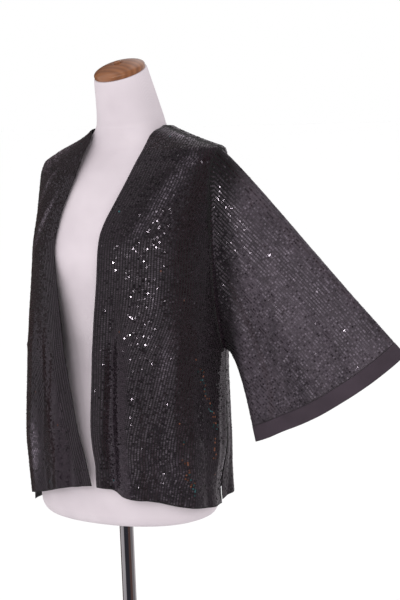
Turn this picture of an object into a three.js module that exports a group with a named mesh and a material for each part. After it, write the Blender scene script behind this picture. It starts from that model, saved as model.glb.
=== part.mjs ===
import * as THREE from "three";

// The form and its stand, in millimetres, with Z up, the front facing -Y and the wearer's left along +X.
const LEVEL = 775; // floor to the level that the heights in the tables are measured from
const UNDERSIDE = -9; // the flat underside of the form
const FOOT = LEVEL + UNDERSIDE;
const NECK_TOP = 774; // the middle of its slanted neck plane
const POLE = { radius: 12.5, socket: 12.9, sunk: 70 }; // it is sunk into a socket in the form
const PLATE = { radius: 190, thick: 12, round: 3, hub: 24, hubTop: 46, fillet: 8, floor: 8 };
const CAP = { radius: 46.5, rim: 6, dome: 13, round: 2, shoulder: 81.1, bore: 7.2, boreDeep: 7, tilt: 20 };
const PLUG = { radius: 6.8, proud: 3.2, round: 2 };

// The cloth and the seams.
const CLOTH_WALL = 1.6;
const BAND_WALL = 2.2;
const SEAM = 0.45; // space left along the cloth between two pieces that are sewn together
const FIT = 0.3; // space left between hard pieces
const REST = 1.3; // least distance of the middle of the cloth from the form, outward and upward
const EASE = 1.5; // how softly the cloth goes over from lying on the form to hanging free
const SQUARE = 2.2; // 2 gives elliptic sections, more gives fuller corners
const BUST = { rise: 10, turn: 30, wide: 17, height: 463, tall: 55 }; // its two rounds, turns in degrees

// The armholes and the side vents, in heights above the underside of the form.
const TIPS = { left: 638, right: 620 }; // outer ends of the shoulder seams: the held sleeve lifts its own
const UNDERARM = 287;
const ARMHOLE_TURN = 14; // half width of the armhole, in degrees about the form
const VENT = { top: 135, full: 30 }; // where a vent starts and is full
// How far the back and the front fall in at the foot of each vent, and the reach of that in degrees.
const VENTS = {
  left: { back: 17, backWide: 10, front: 19, wide: 16 },
  right: { back: -1, backWide: 16, front: 30, wide: 16 },
};

// Counts of rows, columns and sides.
const SIDES = { plate: 48, pole: 32, cap: 40, plug: 20 };
const ROWS = { yoke: 8, armhole: 13, skirt: 10 };
const YOKE_POWER = 1.6; // draws the rows of the yoke up to the neck, where its edge runs flattest
const COLUMNS = { front: 20, back: 30, form: 36, sleeve: 10, cuff: 2 };

// Rows of numbers under named columns, the first of which is the place that the row stands at.
function table(names, rows) {
  return Object.fromEntries(
    names.split(" ").map((name, k) => [name, rows.map((row) => row[k])]),
  );
}

// Sections of the form: height, half width, depths before and behind the spine, spine, lean of the plane.
const FORM = table("at half front back spine lean", [
  [UNDERSIDE, 154, 104, 108, 12, 0],
  [-6, 162, 110, 114, 12, 0],
  [1, 169, 116, 120, 12, 0],
  [14, 174, 121, 125, 12, 0],
  [90, 176, 124, 128, 9, 0],
  [140, 169, 119, 121, 9, 0],
  [215, 141, 107, 98, 12, 0],
  [285, 121, 100, 82, 17, 0],
  [345, 128, 112, 86, 26, 0],
  [410, 142, 128, 94, 34, 0],
  [465, 150, 138, 99, 40, 0],
  [515, 156, 130, 103, 45, 0],
  [565, 163, 110, 103, 50, 0],
  [600, 175, 88, 92, 54, 0],
  [623, 171, 66, 74, 57, 0],
  [637, 142, 54, 63, 58, 0],
  [648, 117, 48, 56, 58, 0],
  [661, 87, 46, 54, 58, 0],
  [674, 70, 47, 59, 58, 0.05],
  [685, 64, 48, 58, 58, 0.12],
  [703, 59, 47, 55, 55, 0.25],
  [NECK_TOP, 46, 45, 46, 39, Math.tan((CAP.tilt * Math.PI) / 180)],
]);

// Sections of the worn cloth about the same spine: half widths to the wearer's left and right.
const BODY = table("at left right front back", [
  [-20, 200, 191, 148, 150],
  [45, 199, 190, 146, 150],
  [165, 198, 189, 144, 150],
  [265, 197, 187, 142, 148],
  [365, 197, 184.5, 145, 145],
  [465, 199, 178, 149, 138],
  [525, 200, 177, 135, 126],
  [565, 201, 183, 117, 114],
  [605, 202, 188, 97, 98],
  [620, 202, 185, 86, 88],
  [629, 202, 169, 81, 83],
  [638.5, 200, 151, 74, 76],
  [647, 174, 131, 67, 71],
  [655, 149, 111, 60, 66],
  [665, 119, 90, 54, 62],
  [677.5, 86, 73, 50, 60],
  [690, 64, 61, 47, 57],
]);

// Turn of the armhole and side seam on each side, from the middle of the front.
const LEFT_SIDE = table("at turn", [
  [-20, 106],
  [135, 105],
  [287, 104],
  [400, 101],
  [520, 97],
  [600, 92],
  [TIPS.left, 90],
]);
const RIGHT_SIDE = table("at turn", [
  [-20, 74],
  [135, 74],
  [287, 75],
  [400, 77],
  [520, 81],
  [588, 87],
  [TIPS.right, 90],
]);

// Where the front edge of each front panel stands, in degrees from the middle of the front towards the
// wearer's own side of that panel.
const LEFT_EDGE = table("at turn", [
  [60, 19.5],
  [101, 19.5],
  [136, 17.6],
  [173, 16.6],
  [268, 17.5],
  [337, 17.6],
  [424, 19.4],
  [496, 20.4],
  [513, 22],
  [549, 28.5],
  [588, 36.9],
  [624, 45.7],
  [653, 56.7],
  [670, 67],
  [680, 86],
]);
const RIGHT_EDGE = table("at turn", [
  [60, -16.6],
  [94, -13.8],
  [148, -8],
  [240, 1.6],
  [320, 9],
  [387, 13.6],
  [434, 15.9],
  [497, 19],
  [553, 21],
  [598, 22.5],
  [620, 27.5],
  [640, 33.3],
  [653, 39.5],
  [665, 47.3],
  [670, 51],
  [674, 62],
  [677, 82],
]);

// Height of each hem, by turn from the middle of the front.
const LEFT_HEM = table("at height", [
  [15, 69],
  [29, 64],
  [38, 52],
  [52, 45],
  [72, 29],
  [90, 19],
  [106, 14],
]);
const RIGHT_HEM = table("at height", [
  [-17, 70],
  [9, 60],
  [24, 50],
  [50, 34],
  [76, 22],
]);
const BACK_HEM = table("at height", [
  [104, 20],
  [120, 25],
  [150, 24],
  [180, 20],
  [230, 13],
  [286, 4],
]);
const BACK_NECK = table("at height", [
  [90, 680],
  [135, 677],
  [180, 676],
  [225, 677],
  [270, 677],
]);

// Folds that run down the cloth: turn at the upper and lower end, half width in degrees,
// height of the ridge (a trough is negative), and the heights between which it grows.
const FOLDS = [
  { upper: 31, lower: 32, wide: 5, rise: -12, from: 430, to: 250 },
  { upper: 45, lower: 44, wide: 6, rise: 6, from: 400, to: 60 },
  { upper: 62, lower: 58, wide: 5, rise: -8, from: 330, to: 60 },
  { upper: 76, lower: 74, wide: 6, rise: 6, from: 300, to: 60 },
  { upper: -34, lower: -32, wide: 6, rise: -8, from: 420, to: 120 },
  { upper: -20, lower: -12, wide: 6, rise: 5, from: 420, to: 120 },
  { upper: -56, lower: -50, wide: 7, rise: 3, from: 350, to: 80 },
  { upper: 124, lower: 122, wide: 8, rise: 5, from: 420, to: 60 },
  { upper: 146, lower: 140, wide: 7, rise: -9, from: 400, to: 60 },
  { upper: 168, lower: 166, wide: 8, rise: 7, from: 440, to: 100 },
  { upper: 190, lower: 192, wide: 7, rise: -7, from: 400, to: 80 },
  { upper: 214, lower: 219, wide: 8, rise: 9, from: 430, to: 60 },
  { upper: 237, lower: 244, wide: 7, rise: -8, from: 380, to: 60 },
];

// The sleeves: degrees that each points from the side towards the back and falls below the level, its
// length along the top edge, the slope, width and outward bow of the cuff, half the opening of the cuff,
// how far the rear layer and the lower edge stand off the body beyond the armhole, and how much rounder
// the sleeve is half way along.
const SLEEVES = {
  left: {
    side: 1, seam: LEFT_SIDE, top: TIPS.left, away: 30, fall: 50, length: 476, cuff: 29.2, width: 301,
    bow: 15, gape: 17, stand: 9, belly: 10, swell: 0,
  },
  right: {
    side: -1, seam: RIGHT_SIDE, top: TIPS.right, away: 50, fall: 52, length: 473, cuff: 29.2, width: 300,
    bow: 19, gape: 17, stand: 4, belly: 9, swell: 8,
  },
};
const BAND = 29; // depth of the plain band at the cuff
const ROLL = { steps: 3, step: 1.9, start: 6 }; // short steps in which a sleeve rolls over its seam
const CROWD = 1.35; // above 1 draws the rings of a sleeve towards its armhole
const NUDGE = { way: 0.02, along: 0.004, cloth: [0.5, 1.2] }; // small steps, for directions of a surface

// Folds of a sleeve: place along and across it where each begins and ends, half width, and rise.
const SLEEVE_FOLDS = [
  { u0: 0.14, s0: 0.54, u1: 0.91, s1: 0.83, wide: 0.075, rise: -9, layer: 1 },
  { u0: 0.2, s0: 0.3, u1: 0.98, s1: 0.6, wide: 0.11, rise: 5, layer: 1 },
  { u0: 0.1, s0: 0.15, u1: 0.95, s1: 0.55, wide: 0.1, rise: -7, layer: -1 },
  { u0: 0.2, s0: 0.5, u1: 0.95, s1: 0.85, wide: 0.1, rise: 5, layer: -1 },
];

const COLOURS = {
  cloth: { color: 0x28221f, roughness: 0.42, metalness: 0.15 },
  band: { color: 0x1b181a, roughness: 0.85, metalness: 0 },
  cover: { color: 0xded4dc, roughness: 0.85, metalness: 0 },
  wood: { color: 0x9c5a2a, roughness: 0.3, metalness: 0 },
  steel: { color: 0xb9b4b0, roughness: 0.15, metalness: 1 },
};

const rad = THREE.MathUtils.degToRad;
const clamp = THREE.MathUtils.clamp;
const smooth = (t) => THREE.MathUtils.smoothstep(t, 0, 1);
const bell = (t) => Math.exp(-t * t);

// A value between the rows of a table, on a curve that never overshoots them.
function read(rows, name, at) {
  const x = rows.at, y = rows[name], last = x.length - 1;
  const place = clamp(at, x[0], x[last]);
  let k = 0;
  while (k < last - 1 && place > x[k + 1]) k++;
  const step = (i) => x[i + 1] - x[i];
  const rise = (i) => (y[i + 1] - y[i]) / step(i);
  const slope = (i) => {
    if (i === 0) return rise(0);
    if (i === last) return rise(last - 1);
    const a = rise(i - 1), b = rise(i);
    if (a * b <= 0) return 0;
    const wa = 2 * step(i) + step(i - 1), wb = step(i) + 2 * step(i - 1);
    return (wa + wb) / (wa / a + wb / b);
  };
  const h = step(k), t = (place - x[k]) / h, t2 = t * t, t3 = t2 * t;
  return (
    (2 * t3 - 3 * t2 + 1) * y[k] + (t3 - 2 * t2 + t) * h * slope(k) +
    (3 * t2 - 2 * t3) * y[k + 1] + (t3 - t2) * h * slope(k + 1)
  );
}

// Radius of a rounded section at a turn from its front, positive to the wearer's left.
function section(left, right, front, back, turn) {
  const s = Math.sin(rad(turn)), c = Math.cos(rad(turn));
  const wide = Math.abs(s) / (s > 0 ? left : right), deep = Math.abs(c) / (c > 0 ? front : back);
  return Math.pow(Math.pow(wide, SQUARE) + Math.pow(deep, SQUARE), -1 / SQUARE);
}

const wrap = (turn) => THREE.MathUtils.euclideanModulo(turn + 180, 360) - 180;

function formRadius(turn, h) {
  const half = read(FORM, "half", h), off = (Math.abs(wrap(turn)) - BUST.turn) / BUST.wide;
  const bust = BUST.rise * bell(off) * bell((h - BUST.height) / BUST.tall);
  return section(half, half, read(FORM, "front", h), read(FORM, "back", h), turn) + bust;
}

function formPoint(turn, h) {
  const r = formRadius(turn, h), a = rad(turn), dy = -r * Math.cos(a);
  return new THREE.Vector3(
    r * Math.sin(a), read(FORM, "spine", h) + dy, LEVEL + h + read(FORM, "lean", h) * dy,
  );
}

// The rise of all long folds at one place of the cloth.
function folds(turn, h) {
  return FOLDS.reduce((sum, f) => {
    const k = smooth((f.from - h) / (f.from - f.to));
    const off = wrap(turn - (f.upper + (f.lower - f.upper) * k));
    return sum + f.rise * k * bell(off / f.wide);
  }, 0);
}

// The side vents: below their top the edges of the back and the fronts move in or out.
function vent(turn, h, back) {
  const k = smooth((VENT.top - h) / (VENT.top - VENT.full));
  const left = wrap(turn) > 0, side = left ? VENTS.left : VENTS.right;
  const seam = left ? read(LEFT_SIDE, "turn", h) : -read(RIGHT_SIDE, "turn", h);
  const off = wrap(turn - seam);
  return -k * (back ? side.back * bell(off / side.backWide) : side.front * bell(off / side.wide));
}

// The middle of the cloth. It hangs on its own sections and nowhere comes nearer the form than REST.
function clothPoint(turn, h, back = false) {
  const own = section(
    read(BODY, "left", h), read(BODY, "right", h), read(BODY, "front", h), read(BODY, "back", h), turn,
  ) + folds(turn, h) + vent(turn, h, back);
  const a = rad(turn), level = h - REST;
  const lean = -read(FORM, "lean", level) * formRadius(turn, level) * Math.cos(a);
  const least = formRadius(turn, level - lean) + REST;
  const r = (own + least + Math.hypot(own - least, EASE)) / 2;
  return new THREE.Vector3(r * Math.sin(a), read(FORM, "spine", h) - r * Math.cos(a), LEVEL + h);
}

// The outward normal of a surface at(u, v), by differences of du and dv.
function normalOf(at, u, v, du, dv) {
  const along = at(u + du, v).sub(at(u - du, v));
  const up = at(u, v + dv).sub(at(u, v - dv));
  return along.cross(up).normalize();
}
const clothNormal = (turn, h, back) => normalOf((t, k) => clothPoint(t, k, back), turn, h, ...NUDGE.cloth);

// A closed mesh from a list of points and faces, with its faces turned outwards.
function solid(points, faces) {
  const position = new Float32Array(points.flatMap((p) => [p.x, p.y, p.z]));
  const volume = faces.reduce((sum, [a, b, c]) => {
    const u = new THREE.Vector3().crossVectors(points[a], points[b]);
    return sum + u.dot(points[c]);
  }, 0);
  const turned = volume < 0 ? faces.map(([a, b, c]) => [a, c, b]) : faces;
  const geometry = new THREE.BufferGeometry();
  geometry.setAttribute("position", new THREE.BufferAttribute(position, 3));
  geometry.setIndex(turned.flat());
  geometry.computeVertexNormals();
  return geometry;
}

// A wall about a grid of places, each with a middle point and a normal. A tube joins its last column
// to its first.
function wall(rows, columns, place, thick, tube = false) {
  const points = [], faces = [];
  const wide = tube ? columns : columns + 1;
  for (const side of [0.5, -0.5])
    for (let i = 0; i <= rows; i++)
      for (let j = 0; j < wide; j++) {
        const { point, normal } = place(i, j);
        points.push(point.clone().addScaledVector(normal, side * thick));
      }
  const at = (s, i, j) => s * (rows + 1) * wide + i * wide + (j % wide);
  const quad = (a, b, c, d) => faces.push([a, b, c], [a, c, d]);
  for (let i = 0; i < rows; i++)
    for (let j = 0; j < columns; j++) {
      quad(at(0, i, j), at(0, i, j + 1), at(0, i + 1, j + 1), at(0, i + 1, j));
      quad(at(1, i, j), at(1, i + 1, j), at(1, i + 1, j + 1), at(1, i, j + 1));
    }
  for (let j = 0; j < columns; j++) {
    quad(at(0, 0, j + 1), at(0, 0, j), at(1, 0, j), at(1, 0, j + 1));
    quad(at(0, rows, j), at(0, rows, j + 1), at(1, rows, j + 1), at(1, rows, j));
  }
  if (!tube)
    for (let i = 0; i < rows; i++) {
      quad(at(0, i, 0), at(0, i + 1, 0), at(1, i + 1, 0), at(1, i, 0));
      quad(at(0, i + 1, columns), at(0, i, columns), at(1, i, columns), at(1, i + 1, columns));
    }
  return solid(points, faces);
}

// Half angle and height of the armhole at a part of the way round it, from the top by the front.
const armholeTurn = (way) => ARMHOLE_TURN * Math.sin(way);
const armholeHeight = (way, tip) => tip - ((tip - UNDERARM) * (1 - Math.cos(way))) / 2;

// Height of one row of a panel, and how far the armhole opens there.
function level(row, top, tip, hem) {
  if (row <= ROWS.yoke) return { h: top + (tip - top) * (row / ROWS.yoke) ** YOKE_POWER, open: 0 };
  const below = row - ROWS.yoke;
  if (below <= ROWS.armhole) {
    const way = (Math.PI * below) / ROWS.armhole;
    return { h: armholeHeight(way, tip), open: below < ROWS.armhole ? armholeTurn(way) : 0 };
  }
  const t = (below - ROWS.armhole) / ROWS.skirt;
  return { h: UNDERARM + (hem - UNDERARM) * t, open: 0 };
}
const SETTLE = 4; // passes that fit a row to a hem whose height changes along it
const PANEL_ROWS = ROWS.yoke + ROWS.armhole + ROWS.skirt;

// Half the seam as a turn about the spine, at a place on the side of the cloth.
const seamTurn = (h) => THREE.MathUtils.radToDeg(SEAM / 2 / read(BODY, "right", h));

// A front panel: its columns run from the front edge to the shoulder, armhole and side seams.
function frontPanel(side, edge, seam, hem, tip) {
  const top = edge.at[edge.at.length - 1];
  const place = (i, j) => {
    const t = j / COLUMNS.front;
    let turn = 0, h = 0;
    for (let pass = 0; pass < SETTLE; pass++) {
      const row = level(i, top, tip, read(hem, "height", turn));
      h = row.h;
      const from = read(edge, "turn", h), to = read(seam, "turn", h) - row.open - seamTurn(h);
      turn = from + (to - from) * t;
    }
    return { point: clothPoint(side * turn, h), normal: clothNormal(side * turn, h) };
  };
  return wall(PANEL_ROWS, COLUMNS.front, place, CLOTH_WALL);
}

// The back panel, from one side to the other, with the back of the neck as its top edge.
function backPanel() {
  const place = (i, j) => {
    const t = j / COLUMNS.back, tip = TIPS.left + (TIPS.right - TIPS.left) * smooth(t);
    let turn = 90 + 180 * t, h = 0;
    for (let pass = 0; pass < SETTLE; pass++) {
      const row = level(i, read(BACK_NECK, "height", turn), tip, read(BACK_HEM, "height", turn));
      h = row.h;
      const inset = row.open + seamTurn(h);
      const from = read(LEFT_SIDE, "turn", h) + inset, to = 360 - read(RIGHT_SIDE, "turn", h) - inset;
      turn = from + (to - from) * t;
    }
    return { point: clothPoint(turn, h, true), normal: clothNormal(turn, h, true) };
  };
  return wall(PANEL_ROWS, COLUMNS.back, place, CLOTH_WALL);
}

// One sleeve as a surface: u runs from the armhole (0) to the end of the cuff (1), way goes round it
// from the top edge by the front.
function sleeveSurface(s) {
  const out = new THREE.Vector3(s.side * Math.cos(rad(s.away)), Math.sin(rad(s.away)), 0);
  const front = new THREE.Vector3(s.side * Math.sin(rad(s.away)), -Math.cos(rad(s.away)), 0);
  const up = new THREE.Vector3(0, 0, 1);
  const tilted = (reach, degrees) => (
    out.clone().multiplyScalar(reach * Math.cos(rad(degrees))).addScaledVector(up, -Math.sin(rad(degrees)))
  );
  const ahead = tilted(1, s.fall), across = tilted(-1, s.cuff);
  const tip = clothPoint(s.side * 90, s.top);
  const armhole = (way, grow = 1) => {
    const middle = (s.top + UNDERARM) / 2, h = middle + (s.top - middle) * grow * Math.cos(way);
    return [s.side * (read(s.seam, "turn", h) - ARMHOLE_TURN * grow * Math.sin(way)), h];
  };
  const base = (way) => {
    const [turn, h] = armhole(way);
    const edge = clothPoint(turn, h), normal = clothNormal(turn, h);
    const along = clothPoint(...armhole(way + NUDGE.way)).sub(clothPoint(...armhole(way - NUDGE.way)));
    const inward = along.cross(normal).normalize();
    if (inward.dot(clothPoint(...armhole(way, 0.97)).sub(edge)) < 0) inward.negate();
    return { edge: edge.addScaledVector(inward, SEAM / 2), normal, inward };
  };
  const end = (way) => {
    const down = (1 - Math.cos(way)) / 2;
    return tip.clone().addScaledVector(ahead, s.length + s.bow * 4 * down * (1 - down))
      .addScaledVector(across, s.width * down).addScaledVector(front, s.gape * Math.sin(way));
  };
  const reach = (way) => base(way).edge.distanceTo(end(way));
  // The roll of the cloth over the seam: it starts in the plane of the body and turns to the sleeve.
  const roll = (way, steps) => {
    const { edge, normal, inward } = base(way);
    const ahead = end(way).lerp(edge, 0.9).sub(edge).addScaledVector(normal, ROLL.start);
    const turn = Math.atan2(ahead.dot(normal), ahead.dot(inward));
    const point = edge.clone();
    for (let k = 0; k < steps; k++) {
      const a = (turn * (k + 0.5)) / ROLL.steps;
      point.addScaledVector(inward, ROLL.step * Math.cos(a));
      point.addScaledVector(normal, ROLL.step * Math.sin(a));
    }
    const a = (turn * steps) / ROLL.steps;
    const facing = normal.clone().multiplyScalar(Math.cos(a)).addScaledVector(inward, -Math.sin(a));
    return { point, normal: facing };
  };
  const at = (u, way) => {
    const { normal } = base(way), edge = roll(way, ROLL.steps).point;
    const down = (1 - Math.cos(way)) / 2, layer = Math.sin(way);
    const point = edge.lerp(end(way), u);
    const low = smooth((down - 0.3) / 0.7), rear = smooth(-layer / 0.5);
    point.addScaledVector(normal, (s.stand * rear + s.belly * low) * Math.sin(Math.PI * Math.sqrt(u)));
    const crease = SLEEVE_FOLDS.reduce((sum, f) => {
      if (f.layer * layer <= 0) return sum;
      const k = clamp((u - f.u0) / (f.u1 - f.u0), 0, 1);
      const grown = smooth(u / 0.25) * smooth((1.25 - u) / 0.25);
      return sum + f.rise * grown * bell((down - (f.s0 + (f.s1 - f.s0) * k)) / f.wide);
    }, 0);
    const round = s.swell * layer * Math.sin(Math.PI * u);
    return point.addScaledVector(front, round + crease * smooth(Math.abs(layer) / 0.6) * Math.sign(layer));
  };
  return { at, roll, reach };
}

// A tube wall round the sleeve, from one distance before the end of the cuff to another. The tube that
// is sewn to the body starts at the armhole instead, in the plane of the cloth there.
function sleeveTube(s, from, to, rings, thick) {
  const { at, roll, reach } = sleeveSurface(s);
  const sewn = from === null, rolled = sewn ? ROLL.steps : 0;
  const place = (i, j) => {
    const way = (Math.PI * j) / ROWS.armhole;
    if (sewn && i <= rolled) return roll(way, i);
    const t = (i - rolled) / rings;
    const last = 1 - to / reach(way), first = sewn ? 0 : 1 - from / reach(way);
    const u = first + (last - first) * (sewn ? Math.pow(t, CROWD) : t);
    const normal = normalOf(at, u, way, NUDGE.along, NUDGE.way).multiplyScalar(-s.side);
    return { point: at(u, way), normal };
  };
  return wall(rings + rolled, 2 * ROWS.armhole, place, thick, true);
}

// The form: rows up its height, closed by the slanted neck plane, with a socket for the pole below.
function formBody() {
  const heights = [
    ...FORM.at.slice(0, 6), 178, 215, 250, 285, 315, 345, 378, 410, 438, 465, 490, 515, 540, 565, 585,
    600, 612, 623, 631, 637, 643, 648, 655, 661, 668, 674, 680, 685, 694, 703, 738, NECK_TOP,
  ];
  const n = COLUMNS.form;
  const points = [], faces = [];
  const ring = (make) => {
    const first = points.length;
    for (let j = 0; j < n; j++) points.push(make((360 * j) / n));
    return first;
  };
  const socket = (z) => (turn) => new THREE.Vector3(
    POLE.socket * Math.sin(rad(turn)), -POLE.socket * Math.cos(rad(turn)), z,
  );
  const rings = [ring(socket(FOOT + POLE.sunk)), ring(socket(FOOT))];
  heights.forEach((h) => rings.push(ring((turn) => formPoint(turn, h))));
  for (let k = 0; k + 1 < rings.length; k++)
    for (let j = 0; j < n; j++) {
      const a = rings[k] + j, b = rings[k] + ((j + 1) % n);
      const c = rings[k + 1] + ((j + 1) % n), d = rings[k + 1] + j;
      faces.push([a, b, c], [a, c, d]);
    }
  const roof = points.push(new THREE.Vector3(0, 0, FOOT + POLE.sunk)) - 1;
  const crown = points.push(new THREE.Vector3(0, read(FORM, "spine", NECK_TOP), LEVEL + NECK_TOP)) - 1;
  for (let j = 0; j < n; j++) {
    faces.push([roof, rings[0] + ((j + 1) % n), rings[0] + j]);
    const last = rings[rings.length - 1];
    faces.push([crown, last + j, last + ((j + 1) % n)]);
  }
  return solid(points, faces);
}

// A turned piece about Z, from a profile of radius and height that starts and ends on the axis.
function turned(profile, sides) {
  const geometry = new THREE.LatheGeometry(profile.map(([r, z]) => new THREE.Vector2(r, z)), sides);
  return geometry.rotateX(Math.PI / 2);
}

// An arc of a profile about a centre, from one angle to another, in degrees.
function arc(cx, cz, rx, rz, from, to, steps) {
  return Array.from({ length: steps + 1 }, (_, k) => {
    const a = rad(from + ((to - from) * k) / steps);
    return [Math.max(cx + rx * Math.cos(a), 0), cz + rz * Math.sin(a)];
  });
}

const root = new THREE.Group();
root.name = "kimono_jacket_on_dress_form";

function add(name, geometry, finish, turn, move) {
  const mesh = new THREE.Mesh(geometry, new THREE.MeshStandardMaterial(COLOURS[finish]));
  mesh.name = name;
  if (turn) mesh.rotation.x = turn;
  if (move) mesh.position.copy(move);
  root.add(mesh);
}

// Stand
add("base_plate", turned([
  [0, 0], ...arc(PLATE.radius - PLATE.round, PLATE.round, PLATE.round, PLATE.round, -90, 0, 2),
  ...arc(PLATE.radius - PLATE.round, PLATE.thick - PLATE.round, PLATE.round, PLATE.round, 0, 90, 2),
  ...arc(PLATE.hub + PLATE.fillet, PLATE.thick + PLATE.fillet, PLATE.fillet, PLATE.fillet, 270, 180, 3),
  ...arc(PLATE.hub - PLATE.round, PLATE.hubTop - PLATE.round, PLATE.round, PLATE.round, 0, 90, 2),
  [POLE.socket, PLATE.hubTop], [POLE.socket, PLATE.floor], [0, PLATE.floor],
], SIDES.plate), "steel");
add("pole", turned([
  [0, PLATE.floor + FIT], [POLE.radius, PLATE.floor + FIT],
  [POLE.radius, FOOT + POLE.sunk - FIT], [0, FOOT + POLE.sunk - FIT],
], SIDES.pole), "steel");

// Form
add("form_body", formBody(), "cover");
const neck = new THREE.Vector3(0, read(FORM, "spine", NECK_TOP), LEVEL + NECK_TOP);
const crown = CAP.rim + CAP.dome, boreFloor = crown - CAP.boreDeep;
add("neck_cap", turned([
  [0, FIT], ...arc(CAP.radius - CAP.round, FIT + CAP.round, CAP.round, CAP.round, -90, 0, 2),
  ...arc(0, CAP.rim, CAP.radius, CAP.dome, 5, CAP.shoulder, 6), [CAP.bore, boreFloor], [0, boreFloor],
], SIDES.cap), "wood", rad(CAP.tilt), neck);
add("cap_plug", turned([
  [0, boreFloor + FIT], [PLUG.radius, boreFloor + FIT],
  ...arc(PLUG.radius - PLUG.round, crown + PLUG.proud - PLUG.round, PLUG.round, PLUG.round, 0, 90, 3),
  [0, crown + PLUG.proud],
], SIDES.plug), "wood", rad(CAP.tilt), neck);

// Garment
add("back_panel", backPanel(), "cloth");
add("front_panel_left", frontPanel(1, LEFT_EDGE, LEFT_SIDE, LEFT_HEM, TIPS.left), "cloth");
add("front_panel_right", frontPanel(-1, RIGHT_EDGE, RIGHT_SIDE, RIGHT_HEM, TIPS.right), "cloth");
for (const [name, s] of Object.entries(SLEEVES)) {
  add("sleeve_" + name, sleeveTube(s, null, BAND, COLUMNS.sleeve, CLOTH_WALL), "cloth");
  add("cuff_band_" + name, sleeveTube(s, BAND - 1.4 * SEAM, 0, COLUMNS.cuff, BAND_WALL), "band");
}

export default root;
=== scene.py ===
"""A sequinned kimono jacket on a limbless dress form with a stand, dressed for its portrait."""

import logging
import math
from dataclasses import dataclass, field
from enum import Enum
from functools import cached_property
from typing import Callable, Iterable, Sequence

import bpy
import numpy as np
from mathutils import Matrix, Vector


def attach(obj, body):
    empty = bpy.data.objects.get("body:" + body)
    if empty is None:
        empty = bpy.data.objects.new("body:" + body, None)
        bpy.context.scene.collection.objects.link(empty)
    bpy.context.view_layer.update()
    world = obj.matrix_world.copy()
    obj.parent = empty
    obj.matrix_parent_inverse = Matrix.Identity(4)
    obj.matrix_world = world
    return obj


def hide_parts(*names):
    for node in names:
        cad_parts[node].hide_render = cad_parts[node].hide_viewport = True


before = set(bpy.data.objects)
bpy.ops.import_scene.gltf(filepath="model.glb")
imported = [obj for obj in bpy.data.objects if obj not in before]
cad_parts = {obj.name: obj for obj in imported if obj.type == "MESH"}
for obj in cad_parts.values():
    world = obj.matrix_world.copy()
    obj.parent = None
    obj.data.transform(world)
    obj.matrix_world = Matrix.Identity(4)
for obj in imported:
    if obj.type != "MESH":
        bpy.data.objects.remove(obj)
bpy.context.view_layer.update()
log = logging.getLogger("jacket")

MM = 0.001  # sizes are in mm and turns in degrees unless they say otherwise
LEVEL = 775.0  # from the floor to the level that heights are measured from
UNDERSIDE = -9.0  # height of the form's lower face
NECK_TOP = 774.0  # height of the middle of the neck's upper face
CAP_TILT = 20.0  # slope of the neck plane, which falls towards the front
TIPS = {"left": 638.0, "right": 620.0}  # heights of the outer ends of the shoulder seams
UNDERARM = 287.0  # height of the lowest place of the armholes
ARMHOLE_TURN = 14.0  # half the opening of an armhole, as a turn about the spine
SQUARE = 2.2  # power of the rounded sections, where 2 is an ellipse
REST = 1.3  # least distance from the form to the middle of the cloth
EASE = 1.5  # how softly the cloth leaves the form
SEAM = 0.3  # gap between two pieces that are sewn together
SEAT = 0.3  # gap between two hard pieces that are seated on each other
SOCKET = 12.9  # radius of the holes that the pole stands in
SUNK = 70.0  # how far the pole goes up into the form
CREASE = 35.0  # least angle that stays an edge on turned pieces

Array = np.ndarray
Triple = tuple[float, float, float]


class Side(Enum):
    """The wearer's side that a piece is on, as the sign of its X."""

    LEFT = 1
    RIGHT = -1

    @property
    def word(self) -> str:
        """The side as it stands in the names of pieces."""
        return self.name.lower()

    @property
    def tip(self) -> float:
        """Height of the outer end of this side's shoulder seam."""
        return TIPS[self.word]


def smooth(t: Array | float) -> Array:
    """An even step from 0 to 1 as t goes from 0 to 1."""
    t = np.clip(t, 0.0, 1.0)
    return t * t * (3.0 - 2.0 * t)


def bell(t: Array | float) -> Array:
    """A soft bump that is 1 at t = 0."""
    return np.exp(-np.square(t))


def wrap(turn: Array) -> Array:
    """A turn in degrees brought to -180 to 180."""
    return np.mod(turn + 180.0, 360.0) - 180.0


def unit(vectors: Array) -> Array:
    """The vectors at length 1."""
    return vectors / np.maximum(np.linalg.norm(vectors, axis=-1, keepdims=True), 1e-9)


@dataclass(frozen=True)
class Table:
    """Rows of numbers under named columns, the first of which is the place that the row stands at."""

    names: str
    rows: tuple[tuple[float, ...], ...]

    @cached_property
    def columns(self) -> dict[str, Array]:
        """The columns by name."""
        return dict(zip(self.names.split(), np.array(self.rows, float).T))

    def read(self, name: str, at: Array | float) -> Array:
        """A column between its rows, on a curve that never overshoots them.

        Args:
            name: the column.
            at: the places to read it at.

        Returns:
            The values, in the shape of the places.
        """
        x, y = self.columns["at"], self.columns[name]
        step = np.diff(x)
        rise = np.diff(y) / step
        slope = np.concatenate([rise[:1], np.zeros(len(x) - 2), rise[-1:]])
        if len(x) > 2:
            a, b = rise[:-1], rise[1:]
            wa, wb = 2 * step[1:] + step[:-1], step[1:] + 2 * step[:-1]
            same = a * b > 0
            safe_a, safe_b = np.where(same, a, 1.0), np.where(same, b, 1.0)
            slope[1:-1] = np.where(same, (wa + wb) / (wa / safe_a + wb / safe_b), 0.0)
        place = np.clip(at, x[0], x[-1])
        k = np.clip(np.searchsorted(x, place, side="left") - 1, 0, len(x) - 2)
        h = step[k]
        t = (place - x[k]) / h
        t2, t3 = t * t, t * t * t
        return (
            (2 * t3 - 3 * t2 + 1) * y[k] + (t3 - 2 * t2 + t) * h * slope[k]
            + (3 * t2 - 2 * t3) * y[k + 1] + (t3 - t2) * h * slope[k + 1]
        )


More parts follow.
